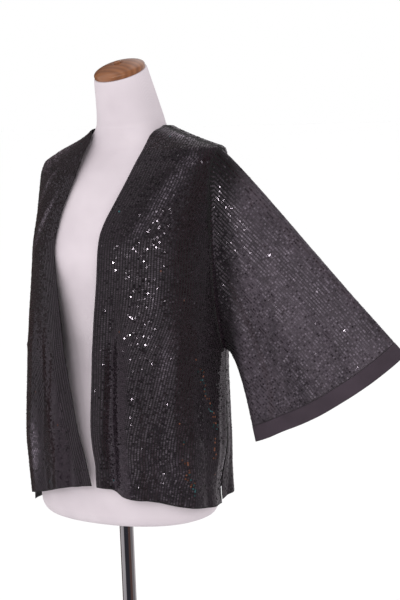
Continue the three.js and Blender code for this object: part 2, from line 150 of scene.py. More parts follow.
FORM = Table("at half front back spine lean", (
    (UNDERSIDE, 154, 104, 108, 12, 0), (-6, 162, 110, 114, 12, 0), (1, 169, 116, 120, 12, 0),
    (14, 174, 121, 125, 12, 0), (90, 176, 124, 128, 9, 0), (140, 169, 119, 121, 9, 0),
    (215, 141, 107, 98, 12, 0), (285, 121, 100, 82, 17, 0), (345, 128, 112, 86, 26, 0),
    (410, 142, 128, 94, 34, 0), (465, 150, 138, 99, 40, 0), (515, 156, 130, 103, 45, 0),
    (565, 163, 110, 103, 50, 0), (600, 175, 88, 92, 54, 0), (623, 171, 66, 74, 57, 0),
    (637, 142, 54, 63, 58, 0), (648, 117, 48, 56, 58, 0), (661, 87, 46, 54, 58, 0),
    (674, 70, 47, 59, 58, 0.05), (685, 64, 48, 58, 58, 0.12), (703, 59, 47, 55, 55, 0.25),
    (NECK_TOP, 46, 45, 46, 39, math.tan(math.radians(CAP_TILT))),
))
BODY = Table("at left right front back", (
    (-20, 200, 191, 148, 150), (45, 199, 190, 146, 150), (165, 198, 189, 144, 150),
    (265, 197, 187, 142, 148), (365, 197, 184.5, 145, 145), (465, 199, 178, 149, 138),
    (525, 200, 177, 135, 126), (565, 201, 183, 117, 114), (605, 202, 188, 97, 98),
    (620, 202, 185, 86, 88), (629, 202, 169, 81, 83), (638.5, 200, 151, 74, 76),
    (647, 174, 131, 67, 71), (655, 149, 111, 60, 66), (665, 119, 90, 54, 62),
    (677.5, 86, 73, 50, 60), (690, 64, 61, 47, 57),
))
LEFT_SIDE = Table("at turn", (
    (-20, 106), (135, 105), (287, 104), (400, 101), (520, 97), (600, 92), (TIPS["left"], 90),
))
RIGHT_SIDE = Table("at turn", (
    (-20, 74), (135, 74), (287, 75), (400, 77), (520, 81), (588, 87), (TIPS["right"], 90),
))
LEFT_EDGE = Table("at turn", (
    (60, 19.5), (101, 19.5), (136, 17.6), (173, 16.6), (268, 17.5), (337, 17.6), (424, 19.4),
    (496, 20.4), (513, 22), (549, 28.5), (588, 36.9), (624, 45.7), (653, 56.7), (670, 67),
    (680, 86),
))
RIGHT_EDGE = Table("at turn", (
    (60, -16.6), (94, -13.8), (148, -8), (240, 1.6), (320, 9), (387, 13.6), (434, 15.9), (497, 19),
    (553, 21), (598, 22.5), (620, 27.5), (640, 33.3), (653, 39.5), (665, 47.3), (670, 51), (674, 62),
    (677, 82),
))
LEFT_HEM = Table("at height", (
    (15, 69), (29, 64), (38, 52), (52, 45), (72, 29), (90, 19), (106, 14),
))
RIGHT_HEM = Table("at height", ((-17, 70), (9, 60), (24, 50), (50, 34), (76, 22)))
BACK_HEM = Table("at height", (
    (104, 20), (120, 25), (150, 24), (180, 20), (230, 13), (286, 4),
))
BACK_NECK = Table("at height", ((90, 680), (135, 677), (180, 676), (225, 677), (270, 677)))


@dataclass(frozen=True)
class Fold:
    """A fold that runs down the cloth: turns at its upper and lower end, half width, rise and growth."""

    upper: float
    lower: float
    wide: float
    rise: float
    start: float
    full: float

    def rise_at(self, turn: Array, h: Array) -> Array:
        """How far it lifts the cloth at each place.

        Args:
            turn: turns about the spine, in degrees.
            h: heights above the level of the tables.

        Returns:
            The lift in mm.
        """
        k = smooth((self.start - h) / (self.start - self.full))
        off = wrap(turn - (self.upper + (self.lower - self.upper) * k))
        return self.rise * k * bell(off / self.wide)


LARGE_FOLDS = (
    Fold(31, 32, 5, -12, 430, 250), Fold(45, 44, 6, 6, 400, 60), Fold(62, 58, 5, -8, 330, 60),
    Fold(76, 74, 6, 6, 300, 60), Fold(-34, -32, 6, -8, 420, 120), Fold(-20, -12, 6, 5, 420, 120),
    Fold(-56, -50, 7, 3, 350, 80), Fold(124, 122, 8, 5, 420, 60), Fold(146, 140, 7, -9, 400, 60),
    Fold(168, 166, 8, 7, 440, 100), Fold(190, 192, 7, -7, 400, 80), Fold(214, 219, 8, 9, 430, 60),
    Fold(237, 244, 7, -8, 380, 60),
)
SMALL_FOLDS = (
    Fold(38, 36, 2.2, 2.2, 470, 300), Fold(53, 51, 2.6, -2.0, 440, 260),
    Fold(70, 66, 2.4, 1.8, 380, 200), Fold(88, 84, 3.0, -2.2, 360, 160),
    Fold(25, 24, 1.8, 1.2, 380, 180), Fold(96, 94, 2.4, 1.6, 330, 150),
    Fold(-44, -43, 2.6, 1.8, 400, 200), Fold(-66, -64, 2.8, -1.8, 360, 160),
    Fold(2, -2, 2.4, -1.6, 300, 150), Fold(112, 114, 3.0, -2.4, 380, 180),
    Fold(134, 131, 2.8, 2.2, 430, 220), Fold(157, 154, 3.0, -2.0, 400, 180),
    Fold(179, 178, 2.6, 1.8, 420, 200), Fold(202, 205, 2.8, -2.2, 430, 200),
    Fold(226, 231, 3.0, 2.2, 400, 200), Fold(252, 258, 3.0, -2.0, 380, 180),
    Fold(268, 272, 2.6, 1.6, 340, 160),
)


@dataclass(frozen=True)
class FormShape:
    """The dress form as sections up its height."""

    bust_rise: float = 10.0
    bust_turn: float = 30.0
    bust_wide: float = 17.0
    bust_height: float = 463.0
    bust_tall: float = 55.0

    def radius(self, turn: Array, h: Array) -> Array:
        """Distance from the spine to the surface at each turn and height.

        Args:
            turn: turns about the spine, in degrees.
            h: heights above the level of the tables.

        Returns:
            The distances in mm.
        """
        half = FORM.read("half", h)
        off = (np.abs(wrap(turn)) - self.bust_turn) / self.bust_wide
        bust = self.bust_rise * bell(off) * bell((h - self.bust_height) / self.bust_tall)
        return section(half, half, FORM.read("front", h), FORM.read("back", h), turn) + bust

    def point(self, turn: Array, h: Array, sunk: Array | float = 0.0) -> Array:
        """Places on the surface, in mm, sunk under it where asked.

        Args:
            turn: turns about the spine, in degrees.
            h: heights above the level of the tables.
            sunk: how far under the surface they lie.

        Returns:
            The places, with X, Y and Z last.
        """
        a = np.radians(turn)
        r = self.radius(turn, h) - sunk
        dy = -r * np.cos(a)
        z = LEVEL + h + FORM.read("lean", h) * dy
        return np.stack([r * np.sin(a), FORM.read("spine", h) + dy, z + 0.0 * dy], -1)


def section(left: Array, right: Array, front: Array, back: Array, turn: Array) -> Array:
    """Radius of a rounded section at a turn from its front, positive to the wearer's left.

    Args:
        left: half width to the wearer's left.
        right: half width to the wearer's right.
        front: depth in front of the spine.
        back: depth behind the spine.
        turn: turns from the middle of the front, in degrees.

    Returns:
        The radius at each turn.
    """
    s, c = np.sin(np.radians(turn)), np.cos(np.radians(turn))
    wide = np.abs(s) / np.where(s > 0, left, right)
    deep = np.abs(c) / np.where(c > 0, front, back)
    return np.power(np.power(wide, SQUARE) + np.power(deep, SQUARE), -1.0 / SQUARE)


@dataclass(frozen=True)
class ClothShape:
    """The worn cloth: its own sections, folds and vents, kept off the form.

    Each vent has the inward move and the reach in degrees of its back, then those of its front.
    waves holds how often each faint wave goes round the body, and how much it turns per mm of height.
    """

    form: FormShape = FormShape()
    vent_top: float = 135.0
    vent_full: float = 30.0
    vent_left: tuple[float, ...] = (17.0, 10.0, 19.0, 16.0)
    vent_right: tuple[float, ...] = (-1.0, 16.0, 30.0, 16.0)
    ripple: float = 0.7
    ripple_top: float = 470.0
    ripple_growth: float = 330.0
    waves: tuple[tuple[float, float], ...] = ((23, 0.013), (3, 0.021), (41, -0.017))
    last_wave: float = 0.6
    turn_step: float = 0.5
    height_step: float = 1.2

    def vent(self, turn: Array, h: Array, back: bool) -> Array:
        """How far the edges of the back and the fronts move in or out beside the side vents.

        Args:
            turn: turns about the spine, in degrees.
            h: heights above the level of the tables.
            back: True for the back panel.

        Returns:
            The outward move in mm.
        """
        k = smooth((self.vent_top - h) / (self.vent_top - self.vent_full))
        left = wrap(turn) > 0
        seam = np.where(left, LEFT_SIDE.read("turn", h), -RIGHT_SIDE.read("turn", h))
        first = 0 if back else 2
        move, wide = (np.where(left, self.vent_left[i], self.vent_right[i]) for i in (first, first + 1))
        return -k * move * bell(wrap(turn - seam) / wide)

    def fine(self, turn: Array, h: Array) -> Array:
        """Small soft creases and a faint ripple, which grow towards the hem.

        Args:
            turn: turns about the spine, in degrees.
            h: heights above the level of the tables.

        Returns:
            The lift in mm.
        """
        rise = sum(fold.rise_at(turn, h) for fold in SMALL_FOLDS)
        low = smooth((self.ripple_top - h) / self.ripple_growth)
        a = np.radians(turn)
        first, second, third = (np.sin(often * a + climb * h) for often, climb in self.waves)
        return rise + self.ripple * low * (first * second + self.last_wave * third)

    def point(self, turn: Array, h: Array, back: bool = False) -> Array:
        """Places on the middle of the cloth, in mm.

        Args:
            turn: turns about the spine, in degrees.
            h: heights above the level of the tables.
            back: True for the back panel, which hangs its own way beside the vents.

        Returns:
            The places, with X, Y and Z last.
        """
        own = section(*(BODY.read(name, h) for name in ("left", "right", "front", "back")), turn)
        own = own + sum(fold.rise_at(turn, h) for fold in LARGE_FOLDS)
        own = own + self.vent(turn, h, back) + self.fine(turn, h)
        a, level = np.radians(turn), h - REST
        lean = -FORM.read("lean", level) * self.form.radius(turn, level) * np.cos(a)
        least = self.form.radius(turn, level - lean) + REST
        r = (own + least + np.hypot(own - least, EASE)) / 2
        return np.stack([r * np.sin(a), FORM.read("spine", h) - r * np.cos(a), LEVEL + h + 0.0 * r], -1)

    def normal(self, turn: Array, h: Array, back: bool = False) -> Array:
        """The outward directions of the cloth.

        Args:
            turn: turns about the spine, in degrees.
            h: heights above the level of the tables.
            back: True for the back panel.

        Returns:
            Unit directions, with X, Y and Z last.
        """
        aside, above = self.turn_step, self.height_step
        along = self.point(turn + aside, h, back) - self.point(turn - aside, h, back)
        up = self.point(turn, h + above, back) - self.point(turn, h - above, back)
        return unit(np.cross(along, up))


@dataclass
class Patch:
    """A grid of places on one sheet of cloth, with the lines that its sequins are sewn along.

    Rows of the grid run across the lines. across holds the distance over the lines, tint the share of
    sequins that glint in colour, and painted_light how much paler the others are painted, as painted
    highlights and painted light. margin is bare at both its sides.
    """

    place: Array
    normal: Array
    across: Array
    tint: Array = field(default_factory=lambda: np.zeros((1, 1)))
    painted_light: Array = field(default_factory=lambda: np.ones((1, 1)))
    margin: tuple[float, float] = (2.2, 2.0)


def lengths(points: Array, axis: int) -> Array:
    """Distance run along a grid of places, from the first of each line.

    Args:
        points: the grid, with X, Y and Z last.
        axis: 0 to run down its columns, 1 along its rows.

    Returns:
        The distances, in the shape of the grid.
    """
    step = np.linalg.norm(np.diff(points, axis=axis), axis=-1)
    run = np.cumsum(step, axis=axis)
    return np.concatenate([np.zeros_like(np.take(run, [0], axis)), run], axis)


def make_object(name: str, points: Array, faces: Array, uv: Array | None = None) -> bpy.types.Object:
    """A smooth mesh object from places in mm.

    Args:
        name: the piece's name.
        points: places, one row each.
        faces: faces of 3 or 4 corners, one row each.
        uv: for each place, its two coordinates along the cloth in metres.

    Returns:
        The new object.
    """
    mesh = bpy.data.meshes.new(name)
    corners = faces.shape[1]
    mesh.vertices.add(len(points))
    mesh.vertices.foreach_set("co", (points * MM).astype(np.float32).ravel())
    mesh.loops.add(faces.size)
    mesh.loops.foreach_set("vertex_index", faces.astype(np.int32).ravel())
    mesh.polygons.add(len(faces))
    mesh.polygons.foreach_set("loop_start", np.arange(0, faces.size, corners, dtype=np.int32))
    mesh.polygons.foreach_set("use_smooth", np.ones(len(faces), bool))
    if uv is not None:
        layer = mesh.uv_layers.new(name="grain")
        layer.data.foreach_set("uv", uv[faces.ravel()].astype(np.float32).ravel())
    mesh.validate()
    mesh.update(calc_edges=True)
    made = bpy.data.objects.new(name, mesh)
    bpy.context.scene.collection.objects.link(made)
    return made


def grid_faces(rows: int, wide: int, tube: bool) -> Array:
    """Corner numbers of the quads of a grid of rows + 1 by wide places.

    Args:
        rows: rows of quads.
        wide: places in a row.
        tube: True if the last place of a row joins its first.

    Returns:
        Four corner numbers for each quad.
    """
    i, j = np.meshgrid(np.arange(rows), np.arange(wide if tube else wide - 1), indexing="ij")
    nxt = (j + 1) % wide
    quad = np.stack([i * wide + j, i * wide + nxt, (i + 1) * wide + nxt, (i + 1) * wide + j], -1)
    return quad.reshape(-1, 4)


def shell(name: str, place: Array, normal: Array, thick: float, uv: Array, tube: bool) -> bpy.types.Object:
    """A thin closed wall about a grid of places.

    Args:
        name: the piece's name.
        place: places on the middle of the cloth, in mm, as rows by columns by 3.
        normal: outward directions at them.
        thick: thickness of the cloth, in mm.
        uv: distances along the cloth, in mm, as rows by columns by 2.
        tube: True if the last column is sewn to the first.

    Returns:
        The new object, with its faces pointing outwards.
    """
    rows, wide = place.shape[0] - 1, place.shape[1]
    outer, inner = place + normal * thick / 2, place - normal * thick / 2
    points = np.concatenate([outer.reshape(-1, 3), inner.reshape(-1, 3)])
    quads = grid_faces(rows, wide, tube)
    shift = (rows + 1) * wide
    j = np.arange(wide if tube else wide - 1)
    nxt, last = (j + 1) % wide, rows * wide
    rims = [
        np.stack([nxt, j, shift + j, shift + nxt], -1),
        np.stack([last + j, last + nxt, last + shift + nxt, last + shift + j], -1),
    ]
    if not tube:
        i = np.arange(rows) * wide
        rims.append(np.stack([i, i + wide, i + wide + shift, i + shift], -1))
        e = i + wide - 1
        rims.append(np.stack([e + wide, e, e + shift, e + wide + shift], -1))
    faces = np.concatenate([quads, quads[:, ::-1] + shift, *rims])
    a, b, c = (outer.reshape(-1, 3)[quads[:, k]] for k in range(3))
    facing = np.einsum("ij,ij->i", np.cross(b - a, c - a), normal.reshape(-1, 3)[quads[:, 0]])
    if facing.sum() < 0:
        faces = faces[:, ::-1]
    flat = np.concatenate([uv.reshape(-1, 2)] * 2) * MM
    return make_object(name, points, faces, flat)


def ring_solid(name: str, rings: Array) -> bpy.types.Object:
    """A closed solid through rings of places, with a flat fan over each end ring.

    Args:
        name: the piece's name.
        rings: places in mm, as rings by places by 3.

    Returns:
        The new object.
    """
    count, wide = rings.shape[:2]
    quads = grid_faces(count - 1, wide, True)
    points = np.concatenate([rings.reshape(-1, 3), rings[:1].mean(1), rings[-1:].mean(1)])
    j, nxt = np.arange(wide), (np.arange(wide) + 1) % wide
    low, high = count * wide, count * wide + 1
    ends = np.concatenate([
        np.stack([nxt, j, np.full(wide, low)], -1),
        np.stack([(count - 1) * wide + j, (count - 1) * wide + nxt, np.full(wide, high)], -1),
    ])
    triangles = np.concatenate([quads[:, [0, 1, 2]], quads[:, [0, 2, 3]], ends])
    uv = np.stack([points[:, 0], points[:, 2]], -1) * MM
    return make_object(name, points, triangles, uv)


ROOM = (  # degrees round the object from the front, and the colour that gloss sees there
    (-180, (0.66, 0.64, 0.65)), (-145, (0.62, 0.60, 0.61)), (-132, (0.08, 0.05, 0.045)),
    (-86, (0.08, 0.05, 0.045)), (-76, (0.58, 0.56, 0.58)), (-16, (0.52, 0.50, 0.52)),
    (-4, (0.04, 0.04, 0.05)), (58, (0.04, 0.04, 0.05)), (66, (0.13, 0.08, 0.07)),
    (94, (0.12, 0.07, 0.06)), (104, (0.24, 0.23, 0.24)), (142, (0.26, 0.25, 0.26)),
    (152, (0.60, 0.58, 0.59)), (180, (0.66, 0.64, 0.65)),
)


def new_group(
    name: str, inputs: Sequence[tuple[str, str, float]], outputs: Sequence[tuple[str, str]]
) -> tuple[bpy.types.NodeTree, bpy.types.Node, bpy.types.Node]:
    """A shader node group with named sockets.

    Args:
        name: the group's name.
        inputs: name, kind and default of each input.
        outputs: name and kind of each output.

    Returns:
        The group, its input node and its output node.
    """
    group = bpy.data.node_groups.new(name, "ShaderNodeTree")
    for label, kind, value in inputs:
        socket = group.interface.new_socket(name=label, in_out="INPUT", socket_type=kind)
        if kind == "NodeSocketFloat":
            socket.default_value = value
    for label, kind in outputs:
        group.interface.new_socket(name=label, in_out="OUTPUT", socket_type=kind)
    return group, group.nodes.new("NodeGroupInput"), group.nodes.new("NodeGroupOutput")


class Nodes:
    """Short calls that add and link nodes of one tree."""

    def __init__(self, tree: bpy.types.NodeTree) -> None:
        """Keeps the tree."""
        self.tree = tree

    def add(self, kind: str, **values: object) -> bpy.types.Node:
        """A node of a kind, with its own properties set.

        Args:
            kind: its kind, without the words ShaderNode.
            values: its properties by name.

        Returns:
            The new node.
        """
        node = self.tree.nodes.new("ShaderNode" + kind)
        for key, value in values.items():
            setattr(node, key, value)
        return node

    def link(self, source: object, target: object) -> None:
        """A link from an output to an input."""
        self.tree.links.new(source, target)

    def feed(self, node: bpy.types.Node, **values: object) -> bpy.types.Node:
        """Values or links for a node's inputs, by name with _ for a space, or by number after an n.

        Args:
            node: the node.
            values: a value or an output for each input.

        Returns:
            The same node.
        """
        for key, value in values.items():
            label = key.replace("_", " ")
            numbered = label[0] == "n" and label[1:].isdigit()
            socket = node.inputs[int(label[1:]) if numbered else label]
            if isinstance(value, bpy.types.NodeSocket):
                self.link(value, socket)
            else:
                socket.default_value = value
        return node

    def math(self, operation: str, a: object, b: object = 0.0, c: object = 0.0) -> bpy.types.NodeSocket:
        """The result of a sum on numbers or links.

        Args:
            operation: the sum.
            a: its first number or link.
            b: its second.
            c: its third.

        Returns:
            The output that holds the result.
        """
        node = self.add("Math", operation=operation)
        self.feed(node, n0=a, n1=b, n2=c)
        return node.outputs[0]

    def mix(self, share: object, a: object, b: object) -> bpy.types.NodeSocket:
        """A colour between two colours.

        Args:
            share: share of the second colour.
            a: the first colour or link.
            b: the second.

        Returns:
            The output that holds the colour.
        """
        node = self.add("Mix", data_type="RGBA")
        self.feed(node, n0=share, n6=a, n7=b)
        return node.outputs[2]


class Effects:
    """The node groups shared by the finishes, each built once."""

    def __init__(self) -> None:
        """Builds the groups."""
        self.weave = self.build_weave()
        self.drift = self.build_drift()
        self.room = self.build_room()

    def build_weave(self) -> bpy.types.NodeTree:
        """Threads in two directions over coordinates in metres: a height and a mask of the gaps.

        Returns:
            The group.
        """
        group, start, end = new_group(
            "cloth weave",
            [("Vector", "NodeSocketVector", 0), ("Across", "NodeSocketFloat", 1500.0),
             ("Along", "NodeSocketFloat", 1500.0), ("Fuzz", "NodeSocketFloat", 0.3)],
            [("Height", "NodeSocketFloat"), ("Gap", "NodeSocketFloat")],
        )
        n = Nodes(group)
        split = n.feed(n.add("SeparateXYZ"), Vector=start.outputs["Vector"])
        waves = []
        for axis, pitch in (("X", "Across"), ("Y", "Along")):
            count = n.math("MULTIPLY", split.outputs[axis], start.outputs[pitch])
            turn = n.math("MULTIPLY", count, math.tau)
            waves.append(n.math("MULTIPLY_ADD", n.math("SINE", turn), 0.5, 0.5))
        thread = n.math("MULTIPLY", waves[0], waves[1])
        fuzz = n.add("TexNoise", noise_dimensions="3D")
        n.feed(fuzz, Vector=start.outputs["Vector"], Scale=900.0, Detail=3.0, Roughness=0.6)
        rough = n.math("MULTIPLY", fuzz.outputs["Fac"], start.outputs["Fuzz"])
        n.link(n.math("ADD", thread, rough), end.inputs["Height"])
        n.link(n.math("SUBTRACT", 1.0, thread), end.inputs["Gap"])
        return group

    def build_drift(self) -> bpy.types.NodeTree:
        """Slow patches over coordinates in metres, between 0 and 1.

        Returns:
            The group.
        """
        group, start, end = new_group(
            "slow drift",
            [("Vector", "NodeSocketVector", 0), ("Scale", "NodeSocketFloat", 12.0),
             ("Contrast", "NodeSocketFloat", 1.0)],
            [("Share", "NodeSocketFloat")],
        )
        n = Nodes(group)
        noise = n.add("TexNoise", noise_dimensions="3D")
        n.feed(noise, Vector=start.outputs["Vector"], Scale=start.outputs["Scale"], Detail=2.0)
        off = n.math("SUBTRACT", noise.outputs["Fac"], 0.5)
        n.link(n.math("MULTIPLY_ADD", off, start.outputs["Contrast"], 0.5), end.inputs["Share"])
        return group

    def build_room(self) -> bpy.types.NodeTree:
        """Colour of the room round the set in each direction, dark in front and pale behind.

        Returns:
            The group.
        """
        group, start, end = new_group(
            "room in gloss", [("Vector", "NodeSocketVector", 0)], [("Color", "NodeSocketColor")]
        )
        n = Nodes(group)
        split = n.feed(n.add("SeparateXYZ"), Vector=start.outputs["Vector"])
        turn = n.math("ARCTAN2", split.outputs["X"], n.math("MULTIPLY", split.outputs["Y"], -1.0))
        ramp = n.add("ValToRGB")
        n.feed(ramp, Fac=n.math("MULTIPLY_ADD", turn, 1 / math.tau, 0.5))
        stops = ramp.color_ramp.elements
        for k, (degrees, _) in enumerate(ROOM):
            stop = stops[k] if k < 2 else stops.new(1.0)
            stop.position = (degrees + 180) / 360
        for stop, (_, colour) in zip(stops, ROOM):
            stop.color = (*colour, 1)
        n.link(ramp.outputs["Color"], end.inputs["Color"])
        return group


def new_material(name: str) -> tuple[bpy.types.Material, Nodes, bpy.types.Node]:
    """A material with a Principled shader, its nodes and the shader.

    Args:
        name: its name.

    Returns:
        The material, short calls on its nodes, and the shader.
    """
    material = bpy.data.materials.new(name)
    material.use_nodes = True
    return material, Nodes(material.node_tree), material.node_tree.nodes["Principled BSDF"]


def put_group(n: Nodes, group: bpy.types.NodeTree, **values: object) -> bpy.types.Node:
    """A group node with its inputs set."""
    node = n.add("Group", node_tree=group)
    return n.feed(node, **values)


@dataclass(frozen=True)
class ClothFinish:
    """A matt knitted or woven cloth with its threads, on the cloth's own coordinates."""

    name: str
    dark: Triple
    light: Triple
    threads: float  # threads in a metre
    relief: float
    roughness: float
    sheen: float
    painted_shade_run: float = 0.0  # metres along the cloth over which painted shading at its first edge gives way to its full colour

    def build(self, effects: Effects) -> bpy.types.Material:
        """The material.

        Args:
            effects: the shared node groups.

        Returns:
            The new material.
        """
        material, n, shader = new_material(self.name)
        grain = n.add("UVMap", uv_map="grain").outputs["UV"]
        rows = self.threads * 0.8
        weave = put_group(n, effects.weave, Vector=grain, Across=self.threads, Along=rows, Fuzz=0.5)
        drift = put_group(n, effects.drift, Vector=grain, Scale=14.0, Contrast=1.6)
        share = n.math("MULTIPLY_ADD", weave.outputs["Gap"], -0.5, drift.outputs["Share"])
        colour = n.mix(n.math("ADD", share, 0.25), (*self.dark, 1), (*self.light, 1))
        # painted shading: the ground is painted darker near its first edge, by the armhole
        if self.painted_shade_run:
            way = n.feed(n.add("SeparateXYZ"), Vector=grain).outputs["Y"]
            grown = n.add("MapRange", interpolation_type="SMOOTHSTEP")
            n.feed(grown, Value=way, From_Min=0.3 * self.painted_shade_run, From_Max=self.painted_shade_run)
            colour = n.mix(grown.outputs[0], (*(0.2 * c for c in self.dark), 1), colour)
        rough = n.math("MULTIPLY_ADD", drift.outputs["Share"], 0.1, self.roughness - 0.05)
        bump = n.add("Bump")
        n.feed(bump, Strength=0.6, Distance=self.relief * MM, Height=weave.outputs["Height"])
        n.feed(shader, Base_Color=colour, Roughness=rough, Normal=bump.outputs["Normal"])
        n.feed(shader, Sheen_Weight=self.sheen, Sheen_Roughness=0.5)
        return material


@dataclass(frozen=True)
class SequinFinish:
    """Glossy black discs, a few of which glint in colour."""

    name: str = "sequin_black"
    roughness: float = 0.09
    metal: float = 0.3
    gloss: float = 1.66
    sheen_tint: Triple = (1.0, 0.90, 1.0)

    def build(self, effects: Effects) -> bpy.types.Material:
        """The material.

        Args:
            effects: the shared node groups.

        Returns:
            The new material.
        """
        material, n, shader = new_material(self.name)
        tint = n.add("VertexColor", layer_name="tint").outputs["Color"]
        place = n.add("TexCoord").outputs["Object"]
        drift = put_group(n, effects.drift, Vector=place, Scale=30.0, Contrast=1.5)
        rough = n.math("MULTIPLY_ADD", drift.outputs["Share"], 0.08, self.roughness)
        n.feed(shader, Base_Color=tint, Roughness=rough, Metallic=self.metal, IOR=self.gloss)
        n.feed(shader, Specular_Tint=(*self.sheen_tint, 1))
        return material


@dataclass(frozen=True)
class WoodFinish:
    """Varnished orange-brown wood with its grain across the cap."""

    name: str = "varnished_wood"
    dark: Triple = (0.13, 0.042, 0.014)
    light: Triple = (0.33, 0.13, 0.05)
    stain: Triple = (0.22, 0.08, 0.03)

    def build(self, effects: Effects) -> bpy.types.Material:
        """The material.

        Args:
            effects: the shared node groups.

        Returns:
            The new material.
        """
        material, n, shader = new_material(self.name)
        place = n.add("TexCoord").outputs["Object"]
        long = n.feed(n.add("Mapping"), Vector=place, Scale=(9.0, 90.0, 60.0), Rotation=(0.1, 0.0, 0.5))
        grain = n.feed(n.add("TexNoise"), Vector=long.outputs[0], Scale=1.6, Detail=6.0, Distortion=0.6)
        rings = n.add("TexWave", wave_type="BANDS", bands_direction="Y")
        n.feed(rings, Vector=long.outputs[0], Scale=0.35, Distortion=5.0, Detail=3.0)
        fibre = n.math("MULTIPLY", grain.outputs["Fac"], 0.55)
        share = n.math("MULTIPLY_ADD", rings.outputs["Fac"], 0.45, fibre)
        colour = n.mix(share, (*self.dark, 1), (*self.light, 1))
        drift = put_group(n, effects.drift, Vector=place, Scale=40.0, Contrast=1.2)
        colour = n.mix(n.math("MULTIPLY", drift.outputs["Share"], 0.3), colour, (*self.stain, 1))
        bump = n.feed(n.add("Bump"), Strength=0.15, Distance=0.0002, Height=grain.outputs["Fac"])
        n.feed(shader, Base_Color=colour, Roughness=0.35, Normal=bump.outputs["Normal"])
        n.feed(shader, Coat_Weight=0.8, Coat_Roughness=0.12)
        return material


@dataclass(frozen=True)
class SteelFinish:
    """Polished chrome with faint wiping marks."""

    name: str
    roughness: float
    dark: Triple = (0.50, 0.48, 0.49)
    light: Triple = (0.60, 0.58, 0.59)

    def build(self, effects: Effects) -> bpy.types.Material:
        """The material.

        Args:
            effects: the shared node groups.

        Returns:
            The new material.
        """
        material, n, shader = new_material(self.name)
        place = n.add("TexCoord").outputs["Object"]
        marks = n.feed(n.add("Mapping"), Vector=place, Scale=(8.0, 8.0, 1.2))
        drift = put_group(n, effects.drift, Vector=marks.outputs[0], Scale=18.0, Contrast=2.0)
        colour = n.mix(drift.outputs["Share"], (*self.dark, 1), (*self.light, 1))
        rough = n.math("MULTIPLY_ADD", drift.outputs["Share"], 0.06, self.roughness)
        n.feed(shader, Base_Color=colour, Roughness=rough, Metallic=1.0)
        return material


@dataclass(frozen=True)
class FloorFinish:
    """A plain pale floor, which gloss sees as the dimmer room round the set."""

    name: str = "pale_floor"
    dark: Triple = (0.95, 0.95, 0.95)
    light: Triple = (0.97, 0.97, 0.97)

    def build(self, effects: Effects) -> bpy.types.Material:
        """The material.

        Args:
            effects: the shared node groups.

        Returns:
            The new material.
        """
        material, n, shader = new_material(self.name)
        place = n.add("TexCoord").outputs["Object"]
        drift = put_group(n, effects.drift, Vector=place, Scale=1.5, Contrast=0.4)
        colour = n.mix(drift.outputs["Share"], (*self.dark, 1), (*self.light, 1))
        n.feed(shader, Base_Color=colour, Roughness=0.9, Specular_IOR_Level=0.1)
        room = put_group(n, effects.room, Vector=place)
        glow = n.feed(n.add("Emission"), Color=room.outputs["Color"], Strength=1.0)
        both = n.add("MixShader")
        n.feed(both, n0=n.add("LightPath").outputs["Is Glossy Ray"])
        n.link(shader.outputs[0], both.inputs[1])
        n.link(glow.outputs[0], both.inputs[2])
        n.link(both.outputs[0], material.node_tree.nodes["Material Output"].inputs["Surface"])
        return material


